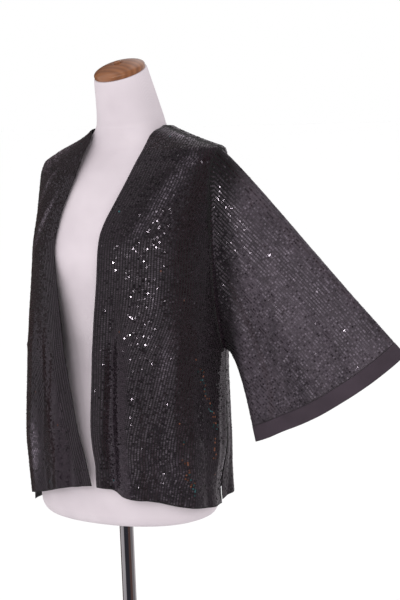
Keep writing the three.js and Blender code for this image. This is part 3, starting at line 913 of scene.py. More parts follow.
@dataclass(frozen=True)
class SequinRows:
    """Small flat discs sewn along the lines of a patch, each overlapping the next.

    Each disc tips by lean, and unevenly by scatter or, for the share that hangs loose, by loose.
    """

    pitch: float = 4.9  # between two lines
    step: float = 3.4  # between two discs of a line
    stray: float = 0.18  # how unevenly they are spaced
    bare: float = 1.9  # left free at each end of a line
    fewest: int = 3  # rows of the grid that a line runs over at least
    line_seed: int = 11
    radius: float = 1.75
    sizes: tuple[float, float] = (0.94, 1.04)
    lift: float = 0.75
    lean: float = 5.0
    scatter: float = 3.4
    loose: float = 10.0
    loose_share: float = 0.22
    corners: int = 8
    black: Triple = (0.0160, 0.0108, 0.0145)
    # painted highlights: the colour added to a sequin for each step of painted light
    painted_lighter: Triple = (0.0150, 0.0128, 0.0155)
    orange: Triple = (0.20, 0.075, 0.045)
    teal: Triple = (0.04, 0.12, 0.13)
    orange_share: float = 0.62

    def lines(self, patch: Patch) -> tuple[Array, Array]:
        """Places in grid coordinates along every line of a patch.

        Args:
            patch: the grid with its distances over the lines.

        Returns:
            Row and column of each sequin.
        """
        rows, wide = patch.across.shape
        low, high = patch.across.min(), patch.across.max()
        numbers = np.arange(math.floor(low / self.pitch), math.ceil(high / self.pitch) + 1)
        marks = (numbers + 0.5) * self.pitch
        column = np.full((rows, len(marks)), np.nan)
        index = np.arange(wide, dtype=float)
        near, far = patch.margin
        for i in range(rows):
            x = patch.across[i]
            inside = (marks > x[0] + near) & (marks < x[-1] - far)
            column[i, inside] = np.interp(marks[inside], x, index)
        found: list[tuple[Array, Array]] = []
        rng = np.random.default_rng(self.line_seed)
        levels = np.arange(rows, dtype=float)
        for line in column.T:
            good = ~np.isnan(line)
            edges = np.flatnonzero(np.diff(np.concatenate([[0], good.astype(int), [0]])))
            for start, stop in edges.reshape(-1, 2):
                if stop - start < self.fewest:
                    continue
                span = np.arange(start, stop)
                path = self.sample(patch.place, levels[span], line[span])
                run = np.concatenate([[0.0], np.cumsum(np.linalg.norm(np.diff(path, axis=0), axis=1))])
                at = np.arange(self.bare + rng.uniform(0, 1.0), run[-1] - self.bare, self.step)
                at = at + rng.normal(0, self.stray, len(at))
                found.append((np.interp(at, run, levels[span]), np.interp(at, run, line[span])))
        return tuple(np.concatenate(parts) for parts in zip(*found))

    @staticmethod
    def sample(values: Array, row: Array, column: Array) -> Array:
        """Values of a grid between its places.

        Args:
            values: the grid.
            row: rows to read at, with parts of a row.
            column: columns to read at.

        Returns:
            The values, one for each row and column.
        """
        i = np.clip(np.floor(row).astype(int), 0, values.shape[0] - 2)
        j = np.clip(np.floor(column).astype(int), 0, values.shape[1] - 2)
        a, b = row - i, column - j
        if values.ndim == 3:
            a, b = a[:, None], b[:, None]
        return (
            values[i, j] * (1 - a) * (1 - b) + values[i + 1, j] * a * (1 - b)
            + values[i, j + 1] * (1 - a) * b + values[i + 1, j + 1] * a * b
        )

    def discs(self, patch: Patch, row: Array, column: Array, rng: np.random.Generator) -> Array:
        """Corners of the discs of one patch.

        Args:
            patch: the grid that they are sewn on.
            row: row of each disc.
            column: its column.
            rng: the random tilts and sizes.

        Returns:
            Places in mm, as discs by corners by 3.
        """
        count, reach = len(row), 0.4
        place = self.sample(patch.place, row, column)
        normal = unit(self.sample(patch.normal, row, column))
        ahead = self.sample(patch.place, np.minimum(row + reach, patch.place.shape[0] - 1.0), column)
        behind = self.sample(patch.place, np.maximum(row - reach, 0.0), column)
        down = unit(ahead - behind)
        side = unit(np.cross(normal, down))
        loose = rng.uniform(size=count) < self.loose_share
        spread = np.radians(np.where(loose, self.loose, self.scatter))
        lean = math.tan(math.radians(self.lean)) + rng.normal(0, 1, count) * spread
        roll = rng.normal(0, 1, count) * spread
        facing = unit(normal - down * lean[:, None] + side * roll[:, None])
        first = unit(down - facing * np.einsum("ij,ij->i", down, facing)[:, None])
        second = np.cross(facing, first)
        size = self.radius * rng.uniform(*self.sizes, count)
        angle = (np.arange(self.corners) * math.tau / self.corners)[None, :, None]
        ring = first[:, None] * np.cos(angle) + second[:, None] * np.sin(angle)
        return (place + normal * self.lift)[:, None] + ring * size[:, None, None]

    def sew(self, name: str, patches: Iterable[Patch], seed: int) -> bpy.types.Object:
        """One joined mesh with all the sequins of a piece.

        Args:
            name: the piece's name.
            patches: the grids that they are sewn on.
            seed: start of the random tilts.

        Returns:
            The new object.
        """
        rng = np.random.default_rng(seed)
        points, tints = [], []
        for patch in patches:
            row, column = self.lines(patch)
            points.append(self.discs(patch, row, column, rng).reshape(-1, 3))
            share = self.sample(patch.tint, row, column) if patch.tint.size > 1 else np.zeros(len(row))
            painted_light = self.sample(patch.painted_light, row, column)[:, None] if patch.painted_light.size > 1 else 1.0
            tints.append(np.repeat(self.colours(rng, len(row), share, painted_light), self.corners, axis=0))
        places, colours = np.concatenate(points), np.concatenate(tints)
        base = np.arange(len(places) // self.corners)[:, None, None] * self.corners
        fan = np.array([[0, k, k + 1] for k in range(1, self.corners - 1)])
        made = make_object(name, places, (base + fan[None]).reshape(-1, 3))
        layer = made.data.color_attributes.new("tint", "FLOAT_COLOR", "POINT")
        layer.data.foreach_set("color", colours.astype(np.float32).ravel())
        return made

    def colours(self, rng: np.random.Generator, count: int, share: Array, painted_light: Array | float) -> Array:
        """Colours of sequins: near black, with orange and teal ones where the share says so.

        Args:
            rng: the random draws.
            count: how many sequins.
            share: share of coloured ones at each.
            painted_light: how much paler the others are painted at each, as painted highlights and painted
                light.

        Returns:
            Colours with their opacity, one row each.
        """
        # painted highlights: a sequin is painted paler where its painted light is above 1
        lit = (painted_light - 1.0) * rng.uniform(0.3, 1.7, (count, 1)) * np.array(self.painted_lighter)
        base = (lit + np.array(self.black)) * rng.uniform(0.6, 1.5, (count, 1))
        pick = rng.uniform(size=count)
        orange = np.array(self.orange) * rng.uniform(0.3, 1.0, (count, 1))
        teal = np.array(self.teal) * rng.uniform(0.3, 1.0, (count, 1))
        glint = np.where((pick < share * self.orange_share)[:, None], orange, teal)
        colour = np.where((pick < share)[:, None], glint, base)
        return np.concatenate([colour, np.ones((count, 1))], 1)


@dataclass
class BodyPanel:
    """A front or the back of the jacket."""

    name: str
    flat: tuple[float, float]
    area: float
    cloth: ClothShape = ClothShape()
    thick: float = 1.0
    rows: tuple[int, int, int] = (18, 70, 62)  # rows beside the shoulder, the armhole and the side seam
    columns: int = 78
    yoke_power: float = 1.6  # above 1 draws the rows beside the shoulder up to the neck
    rounds: int = 5  # how often turns and heights are fitted to each other

    def level(self, row: Array, top: Array, tip: Array, hem: Array) -> tuple[Array, Array]:
        """Height of each row of the panel, and how far the armhole opens there.

        Args:
            row: row numbers.
            top: height of the panel's top edge.
            tip: height of the outer end of the shoulder.
            hem: height of the hem.

        Returns:
            Heights and half openings in degrees.
        """
        yoke, armhole, skirt = self.rows
        way = np.pi * np.clip((row - yoke) / armhole, 0, 1)
        upper = top + (tip - top) * np.clip(row / yoke, 0, 1) ** self.yoke_power
        middle = tip - (tip - UNDERARM) * (1 - np.cos(way)) / 2
        lower = UNDERARM + (hem - UNDERARM) * np.clip((row - yoke - armhole) / skirt, 0, 1)
        h = np.where(row <= yoke, upper, np.where(row <= yoke + armhole, middle, lower))
        return h, ARMHOLE_TURN * np.sin(way)

    def seam_turn(self, h: Array) -> Array:
        """Half the seam as a turn about the spine."""
        return np.degrees(SEAM / 2 / BODY.read("right", h))

    def grid(self, turn: Callable[[Array, Array, Array], Array], top: Table | float,
             tip: tuple[float, float], hem: Table) -> tuple[Array, Array]:
        """Turns and heights of the panel's grid.

        Args:
            turn: gives the turns from heights, armhole openings and shares of the way across.
            top: the panel's top edge.
            tip: heights of the shoulder's outer end at its first and last column.
            hem: its hem.

        Returns:
            Turns and heights, as rows by columns.
        """
        row = np.arange(sum(self.rows) + 1, dtype=float)[:, None]
        share = np.linspace(0, 1, self.columns + 1)[None, :]
        end = tip[0] + (tip[1] - tip[0]) * smooth(share)
        at = turn(np.full_like(row, UNDERARM), np.zeros_like(row), share) + 0.0 * row
        h = at
        for _ in range(self.rounds):
            upper = top.read("height", at) if isinstance(top, Table) else top
            h, opening = self.level(row, upper, end, hem.read("height", at))
            at = turn(h, opening, share)
        return at, h

    def finish(self, turn: Array, h: Array, back: bool, across: Array, tint: Array,
               painted_light: Array) -> tuple[bpy.types.Object, Patch]:
        """The cloth of the panel and the patch for its sequins.

        Args:
            turn: turns of the grid, about the spine.
            h: its heights.
            back: True for the back panel.
            across: distances over the lines of sequins.
            tint: share of coloured glints.
            painted_light: how much paler the other sequins are painted, as painted highlights.

        Returns:
            The object and the patch.
        """
        place, normal = self.cloth.point(turn, h, back), self.cloth.normal(turn, h, back)
        uv = np.stack([across, lengths(place, 0)], -1)
        made = shell(self.name, place, normal, self.thick, uv, False)
        return made, Patch(place, normal, across, tint, painted_light)


@dataclass
class FrontPanel(BodyPanel):
    """A front, from its open edge to the shoulder, armhole and side seams.

    Below the height bend its lines of sequins run off the upright by slant per mm of height. A glint is a
    place with coloured sequins and a painted highlight one where the sequins are painted paler, as painted
    streaks and patches of light: turn, height, slope of its middle in degrees per mm, half width in degrees,
    half height and, for a painted highlight, its gain.
    """

    side: Side = Side.LEFT
    edge: Table = LEFT_EDGE
    seam: Table = LEFT_SIDE
    hem: Table = LEFT_HEM
    slant: float = 0.2
    bend: float = 400.0
    bend_growth: float = 120.0
    straight: float = 25.0  # upright strip along the open edge
    straight_growth: float = 55.0
    glints: tuple[tuple[float, ...], ...] = ()
    painted_highlights: tuple[tuple[float, ...], ...] = ()
    tint_gain: float = 0.5
    tint_least: float = 0.001
    tint_most: float = 0.6

    def build(self) -> tuple[bpy.types.Object, Patch]:
        """The panel's cloth and its patch.

        Returns:
            The object and the patch for its sequins.
        """
        def across_panel(h: Array, opening: Array, share: Array) -> Array:
            """Turns at a share of the way from the open edge to the side seam.

            Args:
                h: heights.
                opening: how far the armhole opens there, in degrees.
                share: share of the way across.

            Returns:
                The turns in degrees.
            """
            start = self.edge.read("turn", h)
            stop = self.seam.read("turn", h) - opening - self.seam_turn(h)
            return start + (stop - start) * share

        top = float(self.edge.columns["at"][-1])
        own, h = self.grid(across_panel, top, (self.side.tip, self.side.tip), self.hem)
        turn = own * self.side.value
        place = self.cloth.point(turn, h)
        run = lengths(place, 1)
        along = unit(np.gradient(place[:, 0], axis=0))
        over = unit(place[:, 2] - place[:, 0])
        lean = np.linalg.norm(np.cross(along, over), axis=-1)[:, None]
        drop = np.maximum(self.bend - h, 0.0)
        drop = drop * smooth(drop / self.bend_growth)
        shear = self.slant * smooth((run - self.straight) / self.straight_growth) * drop
        tint, painted_light = np.zeros_like(run), np.ones_like(run)
        for glint in self.glints:
            tint += self.spot(own, h, *glint)
        # painted highlights: streaks and patches where the sequins are painted paler, as if they caught the
        # light
        for *highlight_spot, gain in self.painted_highlights:
            painted_light += gain * self.spot(own, h, *highlight_spot)
        tint = np.minimum(self.tint_most, self.tint_gain * tint + self.tint_least)
        return self.finish(turn, h, False, run * lean + shear, tint, painted_light)

    @staticmethod
    def spot(own: Array, h: Array, at: float, up: float, slope: float, wide: float, tall: float) -> Array:
        """A soft spot on the panel.

        Args:
            own: turns on the panel's own side.
            h: heights.
            at: turn of its middle.
            up: height of its middle.
            slope: degrees that it runs off the upright, per mm.
            wide: half width in degrees.
            tall: half height.

        Returns:
            From 0 away from it to 1 at its middle.
        """
        return bell((wrap(own - at) - slope * (h - up)) / wide) * bell((h - up) / tall)


@dataclass
class BackPanel(BodyPanel):
    """The back, from side seam to side seam, with the back of the neck as its top edge."""

    columns: int = 132
    tint_share: float = 0.0015
    centre: float = 180.0

    def build(self) -> tuple[bpy.types.Object, Patch]:
        """The panel's cloth and its patch.

        Returns:
            The object and the patch for its sequins.
        """
        def across_panel(h: Array, opening: Array, share: Array) -> Array:
            """Turns at a share of the way from the left side seam to the right one.

            Args:
                h: heights.
                opening: how far the armholes open there, in degrees.
                share: share of the way across.

            Returns:
                The turns in degrees.
            """
            inset = opening + self.seam_turn(h)
            start = LEFT_SIDE.read("turn", h) + inset
            stop = 360 - RIGHT_SIDE.read("turn", h) - inset
            return start + (stop - start) * share

        turn, h = self.grid(across_panel, BACK_NECK, (Side.LEFT.tip, Side.RIGHT.tip), BACK_HEM)
        place = self.cloth.point(turn, h, True)
        run = lengths(place, 1)
        middle = np.stack([np.interp(self.centre, turn[i], run[i]) for i in range(len(run))])[:, None]
        tint = np.full_like(run, self.tint_share)
        return self.finish(turn, h, True, run - middle, tint, np.ones_like(run))


@dataclass(frozen=True)
class SleeveFold:
    """A fold of one layer of a sleeve, between two places along (u) and across (s) it.

    layer is 1 for the front layer and -1 for the rear one.
    """

    u0: float
    s0: float
    u1: float
    s1: float
    wide: float
    rise: float
    layer: int


SLEEVE_FOLDS = (
    SleeveFold(0.14, 0.54, 0.91, 0.83, 0.075, -9, 1), SleeveFold(0.2, 0.3, 0.98, 0.6, 0.11, 5, 1),
    SleeveFold(0.1, 0.15, 0.95, 0.55, 0.1, -7, -1), SleeveFold(0.2, 0.5, 0.95, 0.85, 0.1, 5, -1),
)
SLEEVE_CREASES = (
    SleeveFold(0.10, 0.16, 0.9, 0.26, 0.035, 1.2, 1), SleeveFold(0.14, 0.34, 0.95, 0.46, 0.03, -1.3, 1),
    SleeveFold(0.08, 0.44, 0.6, 0.6, 0.03, 1.6, 1), SleeveFold(0.2, 0.62, 0.95, 0.92, 0.03, 1.8, 1),
    SleeveFold(0.1, 0.3, 0.9, 0.44, 0.035, 1.4, -1), SleeveFold(0.15, 0.66, 0.9, 0.78, 0.035, -1.5, -1),
)


@dataclass
class Sleeve:
    """A wide sleeve and the plain band at its cuff."""

    name: str
    band_name: str
    side: Side
    seam: Table
    away: float  # turn of its top edge away from straight out to the side
    fall: float  # slope of its top edge
    length: float  # along its top edge
    bow: float  # how far the cuff bulges outwards
    stand: float  # how far the rear layer stands off the seam
    belly: float  # how far the lower edge does
    swell: float  # how far the two layers stand apart
    flat: tuple[float, float]
    area: float
    band_flat: tuple[float, float] = (0.62, 0.029)
    cuff: float = 29.2  # slope of the cuff, back towards the body
    width: float = 300.0
    gape: float = 17.0
    band: float = 29.0
    band_rings: int = 8
    overlap: float = 0.5
    thick: float = 1.0
    band_thick: float = 1.9
    rings: int = 84
    crowd: float = 1.35  # above 1 draws the rings to the armhole
    columns: int = 150
    roll_steps: int = 3
    roll_step: float = 1.9
    roll_start: float = 6.0
    roll_pull: float = 0.1  # how much the far end draws the roll its way
    way_step: float = 0.02
    length_step: float = 0.004
    inner_share: float = 0.97  # size of a ring just inside the armhole
    low_from: float = 0.3  # share of the way down at which the belly starts
    rear_full: float = 0.5
    fold_ends: float = 0.25
    crease_full: float = 0.6
    even_over: int = 7  # rows over which the slope of a layer is evened out
    painted_shade_until: float = 32.0  # painted shading near the armhole; from here on the sleeve's sequins are painted paler, more and more, as painted light
    # painted light: how far on and how much the sleeve's sequins grow paler
    painted_light_over: float = 60.0
    painted_lighter: float = 3.4
    cloth: ClothShape = ClothShape(ripple=0.0)

    @cached_property
    def directions(self) -> tuple[Array, Array, Array]:
        """Unit directions: along the sleeve, across its cuff and out of its front layer.

        Returns:
            The three directions.
        """
        side, away = self.side.value, math.radians(self.away)
        out = np.array([side * math.cos(away), math.sin(away), 0.0])
        front = np.array([side * math.sin(away), -math.cos(away), 0.0])
        up = np.array([0.0, 0.0, 1.0])
        fall, cuff = math.radians(self.fall), math.radians(self.cuff)
        return out * math.cos(fall) - up * math.sin(fall), -out * math.cos(cuff) - up * math.sin(cuff), front

    @property
    def ways(self) -> Array:
        """Places round the sleeve, as turns from its top edge by the front."""
        return np.linspace(0, math.tau, self.columns, endpoint=False)[None, :]

    def armhole(self, way: Array, grow: float = 1.0) -> tuple[Array, Array]:
        """Turn and height of the armhole at a part of the way round, from the top by the front.

        Args:
            way: turns round the sleeve, from its top edge by the front.
            grow: size of the ring, 1 for the armhole itself.

        Returns:
            Turns and heights.
        """
        top = self.side.tip
        middle = (top + UNDERARM) / 2
        h = middle + (top - middle) * grow * np.cos(way)
        return self.side.value * (self.seam.read("turn", h) - ARMHOLE_TURN * grow * np.sin(way)), h

    def base(self, way: Array) -> tuple[Array, Array, Array]:
        """Edge, cloth normal and inward direction all round the armhole.

        Args:
            way: turns round the sleeve, from its top edge by the front.

        Returns:
            Places on the sleeve's edge and two unit directions at each.
        """
        edge, normal = self.cloth.point(*self.armhole(way)), self.cloth.normal(*self.armhole(way))
        after, before = (self.cloth.point(*self.armhole(way + s)) for s in (self.way_step, -self.way_step))
        inward = unit(np.cross(after - before, normal))
        within = self.cloth.point(*self.armhole(way, self.inner_share)) - edge
        inward = inward * np.where(np.sum(inward * within, -1, keepdims=True) < 0, -1.0, 1.0)
        return edge + inward * SEAM / 2, normal, inward

    def end(self, way: Array) -> Array:
        """Places all round the end of the cuff.

        Args:
            way: turns round the sleeve, from its top edge by the front.

        Returns:
            The places in mm.
        """
        ahead, across, front = self.directions
        down = ((1 - np.cos(way)) / 2)[..., None]
        tip = self.cloth.point(np.array(self.side.value * 90.0), np.array(self.side.tip))
        return (
            tip + ahead * (self.length + self.bow * 4 * down * (1 - down)) + across * self.width * down
            + front * self.gape * np.sin(way)[..., None]
        )

    def roll(self, way: Array, steps: int) -> tuple[Array, Array]:
        """Places and normals where the cloth rolls over the armhole seam.

        Args:
            way: turns round the sleeve, from its top edge by the front.
            steps: how many steps of the roll lie before them.

        Returns:
            The places in mm and unit normals.
        """
        edge, normal, inward = self.base(way)
        ahead = (self.end(way) - edge) * self.roll_pull + normal * self.roll_start
        turn = np.arctan2(np.sum(ahead * normal, -1), np.sum(ahead * inward, -1))[..., None]
        point = edge.copy()
        for k in range(steps):
            a = turn * (k + 0.5) / self.roll_steps
            point = point + (inward * np.cos(a) + normal * np.sin(a)) * self.roll_step
        a = turn * steps / self.roll_steps
        return point, normal * np.cos(a) - inward * np.sin(a)

    def at(self, u: Array, way: Array) -> Array:
        """Places on the middle of the sleeve's cloth.

        Args:
            u: from 0 at the armhole to 1 at the end of the cuff.
            way: turns round the sleeve, from its top edge by the front.

        Returns:
            The places in mm.
        """
        _, normal, _ = self.base(way)
        edge, _ = self.roll(way, self.roll_steps)
        down, layer = (1 - np.cos(way)) / 2, np.sin(way)
        _, _, front = self.directions
        point = edge + (self.end(way) - edge) * u[..., None]
        low = smooth((down - self.low_from) / (1 - self.low_from))
        rear = smooth(-layer / self.rear_full)
        lift = self.stand * rear + self.belly * low
        point = point + normal * (lift * np.sin(np.pi * np.sqrt(u)))[..., None]
        crease, ends = np.zeros_like(down), self.fold_ends
        grown = smooth(u / ends) * smooth((1 + ends - u) / ends)
        for f in SLEEVE_FOLDS + SLEEVE_CREASES:
            k = np.clip((u - f.u0) / (f.u1 - f.u0), 0, 1)
            rise = f.rise * grown * bell((down - (f.s0 + (f.s1 - f.s0) * k)) / f.wide)
            crease = crease + np.where(f.layer * layer > 0, rise, 0.0)
        swelling = self.swell * layer * np.sin(np.pi * u)
        lifted = swelling + crease * smooth(np.abs(layer) / self.crease_full) * np.sign(layer)
        return point + front * lifted[..., None]

    def tube(self, first: Array, last: Array, rings: int, power: float, rolled: bool) -> tuple[Array, Array]:
        """A grid of places and normals round the sleeve, between two shares of its length.

        Args:
            first: where it starts, for each place round it.
            last: where it ends.
            rings: how many steps it has.
            power: above 1 draws the rings towards the armhole.
            rolled: True if it starts with the roll over the armhole seam.

        Returns:
            Places and outward normals, as rings by columns by 3.
        """
        way = self.ways
        t = np.linspace(0, 1, rings + 1)[:, None] ** power
        u = first + (last - first) * t
        ways = way + 0.0 * u
        place = self.at(u, ways)
        along = self.at(u + self.length_step, ways) - self.at(np.maximum(u - self.length_step, 0.0), ways)
        round_ = self.at(u, ways + self.way_step) - self.at(u, ways - self.way_step)
        normal = unit(np.cross(along, round_)) * -self.side.value
        if rolled:
            starts = [self.roll(way, k) for k in range(self.roll_steps)]
            place = np.concatenate([*(p for p, _ in starts), place])
            normal = np.concatenate([*(q for _, q in starts), normal])
        return place, normal

    def build(self) -> tuple[bpy.types.Object, bpy.types.Object, list[Patch]]:
        """The sleeve, its cuff band, and the patches of its front and rear layers.

        Returns:
            The two objects and the two patches.
        """
        edge, _, _ = self.base(self.ways)
        reach = np.linalg.norm(self.end(self.ways) - edge, axis=-1)
        start, band_start = 1 - self.band / reach, 1 - (self.band - self.overlap) / reach
        main = self.tube(np.zeros_like(reach), start, self.rings, self.crowd, True)
        sleeve = self.wall(self.name, *main, self.thick)
        plain = self.tube(band_start, np.ones_like(reach), self.band_rings, 1.0, False)
        band = self.wall(self.band_name, *plain, self.band_thick)
        half = np.arange(self.columns // 2 + 1)
        return sleeve, band, [self.layer(*main, columns) for columns in (half, -half % self.columns)]

    @staticmethod
    def wall(name: str, place: Array, normal: Array, thick: float) -> bpy.types.Object:
        """The closed wall about a tube."""
        return shell(name, place, normal, thick, np.stack([lengths(place, 1), lengths(place, 0)], -1), True)

    def layer(self, place: Array, normal: Array, columns: Array) -> Patch:
        """The patch for the sequins of one layer, on some of the sleeve's columns.

        Args:
            place: places of the sleeve.
            normal: its outward directions.
            columns: the layer's columns, from its top edge to its lower edge.

        Returns:
            The patch.
        """
        grid, facing = place[:, columns], normal[:, columns]
        chord = unit(grid[:, -1] - grid[:, 0])
        top = unit(np.gradient(grid[:, 0], axis=0))
        slope = np.linalg.norm(np.cross(chord, top), axis=-1)
        wide = self.even_over
        slope = np.convolve(np.pad(slope, wide // 2, mode="edge"), np.ones(wide) / wide, mode="valid")
        # painted light: the sequins are painted paler away from the armhole and stay dark near it as painted
        # shading
        grown = smooth((lengths(grid, 0) - self.painted_shade_until) / self.painted_light_over)
        painted_light = 1.0 + self.painted_lighter * grown
        across = lengths(grid, 1) * slope[:, None]
        return Patch(grid, facing, across, painted_light=painted_light, margin=(1.2, 1.2))


def dress(
    piece: bpy.types.Object, finish: bpy.types.Material, node: str | None = None
) -> bpy.types.Object:
    """Gives a piece its finish and its place in the frame.

    Args:
        piece: the object.
        finish: its material.
        node: the CAD node that it stands for, if any.

    Returns:
        The same object.
    """
    piece.data.materials.append(finish)
    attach(piece, "root")
    if node:
        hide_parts(node)
    return piece


def report(*pieces: bpy.types.Object) -> None:
    """Logs finished pieces with their counts of triangles.

    Args:
        pieces: the objects.
    """
    for piece in pieces:
        count = sum(len(p.vertices) - 2 for p in piece.data.polygons)
        log.info("%s: %d triangles", piece.name, count)


@dataclass
class Jacket:
    """The whole garment: three panels, two sleeves with bands, and the sequins on them."""

    front_sequins: SequinRows = SequinRows()
    sleeve_sequins: SequinRows = SequinRows(scatter=2.8, loose_share=0.05)
    back_sequins: SequinRows = SequinRows(scatter=5.5)
    left_front: FrontPanel = field(default_factory=lambda: FrontPanel(
        "front_left_cloth", flat=(0.375, 0.777), area=0.154, side=Side.LEFT,
        glints=((86, 215, -0.11, 1.4, 55), (90.8, 140, 0, 1.2, 36), (71.5, 108, -0.055, 1.4, 46)),
        # painted highlights on the sequins: streaks and patches painted paler
        painted_highlights=((59, 560, 0.243, 4, 75, 4.5), (83, 662, 0, 8, 9, 9.0), (104.6, 72, -0.01, 1.1, 44, 16.0),
                (54, 400, 0.04, 3, 70, 1.5), (62, 280, 0.04, 3, 60, 2.5), (58, 70, 0, 26, 100, 1.6)),
    ))
    right_front: FrontPanel = field(default_factory=lambda: FrontPanel(
        "front_right_cloth", flat=(0.338, 0.771), area=0.119, side=Side.RIGHT, edge=RIGHT_EDGE,
        seam=RIGHT_SIDE, hem=RIGHT_HEM,
        # painted highlights on the sequins: streaks and patches painted paler
        painted_highlights=((39.5, 520, -0.115, 2.2, 34, 16.0), (68, 628, 0, 8, 34, 8.0), (41, 120, 0.02, 3, 42, 9.0),
                (53, 578, -0.1, 2.5, 30, 6.0)),
    ))
    back: BackPanel = field(default_factory=lambda: BackPanel("back_cloth", flat=(0.57, 0.782), area=0.333))
    sleeves: tuple[Sleeve, ...] = field(default_factory=lambda: (
        Sleeve("sleeve_left_cloth", "cuff_left_cloth", Side.LEFT, LEFT_SIDE, away=30, fall=50,
               length=476, bow=15, stand=9, belly=10, swell=0, width=301, flat=(0.76, 0.45), area=0.165),
        Sleeve("sleeve_right_cloth", "cuff_right_cloth", Side.RIGHT, RIGHT_SIDE, away=50, fall=52,
               length=473, bow=19, stand=4, belly=9, swell=8, flat=(0.742, 0.45), area=0.198),
    ))
    sleeve_seed: int = 20

    def build(self, knit: bpy.types.Material, painted_light_ground: bpy.types.Material, band: bpy.types.Material,
              sequin: bpy.types.Material) -> None:
        """Builds and dresses every piece of the garment.

        Args:
            knit: finish of the ground cloth.
            painted_light_ground: finish of the sleeves' ground, painted paler than the body's ground as
                painted light, with painted shading near the armhole.
            band: finish of the cuff bands.
            sequin: finish of the sequins.
        """
        panels = (
            (self.back, self.back_sequins, "back_panel"),
            (self.left_front, self.front_sequins, "front_panel_left"),
            (self.right_front, self.front_sequins, "front_panel_right"),
        )
        for seed, (panel, rows, node) in enumerate(panels):
            cloth, patch = panel.build()
            dress(cloth, knit, node)
            discs = rows.sew(panel.name.replace("cloth", "sequins"), [patch], seed)
            dress(discs, sequin)
            report(cloth, discs)
        for seed, sleeve in enumerate(self.sleeves, self.sleeve_seed):
            tube, cuff, patches = sleeve.build()
            side = sleeve.side.word
            # the sleeves' ground carries painted light and painted shading
            dress(tube, painted_light_ground, "sleeve_" + side)
            dress(cuff, band, "cuff_band_" + side)
            discs = self.sleeve_sequins.sew(sleeve.name.replace("cloth", "sequins"), patches, seed)
            dress(discs, sequin)
            report(tube, cuff, discs)


def turned(name: str, profile: Sequence[tuple[float, float]], sides: int) -> bpy.types.Object:
    """A solid turned about Z, made from a disc that is extruded and resized from step to step.

    Args:
        name: the piece's name.
        profile: radius and height of each step, in mm, from the lower face to the last one.
        sides: corners of the disc.

    Returns:
        The new object, at the origin.
    """
    bpy.ops.object.select_all(action="DESELECT")
    radius, height = profile[0]
    bpy.ops.mesh.primitive_circle_add(
        vertices=sides, radius=radius * MM, fill_type="NGON", location=(0, 0, height * MM)
    )
    made = bpy.context.active_object
    made.name = made.data.name = name
    bpy.ops.object.transform_apply(location=True, rotation=True, scale=True)
    bpy.ops.object.mode_set(mode="EDIT")
    bpy.ops.mesh.select_all(action="SELECT")
    for next_radius, next_height in profile[1:]:
        rise = (next_height - height) * MM
        bpy.ops.mesh.extrude_region_move(TRANSFORM_OT_translate={"value": (0, 0, rise)})
        grow = next_radius / radius
        bpy.ops.transform.resize(value=(grow, grow, 1), center_override=(0, 0, next_height * MM))
        radius, height = next_radius, next_height
    bpy.ops.mesh.select_all(action="SELECT")
    bpy.ops.mesh.normals_make_consistent(inside=False)
    bpy.ops.object.mode_set(mode="OBJECT")
    bpy.ops.object.shade_smooth_by_angle(angle=math.radians(CREASE))
    return made


def arc(
    radius: float, height: float, size: tuple[float, float], turn: tuple[float, float], steps: int
) -> list[tuple[float, float]]:
    """Steps of a profile along an arc.

    Args:
        radius: radius at which its centre lies.
        height: height of its centre.
        size: its reach outwards and upwards.
        turn: its first and last angle, in degrees.
        steps: how many steps it has.

    Returns:
        Radius and height of each step.
    """
    angles = np.radians(np.linspace(*turn, steps + 1))
    return [(radius + size[0] * math.cos(a), height + size[1] * math.sin(a)) for a in angles]


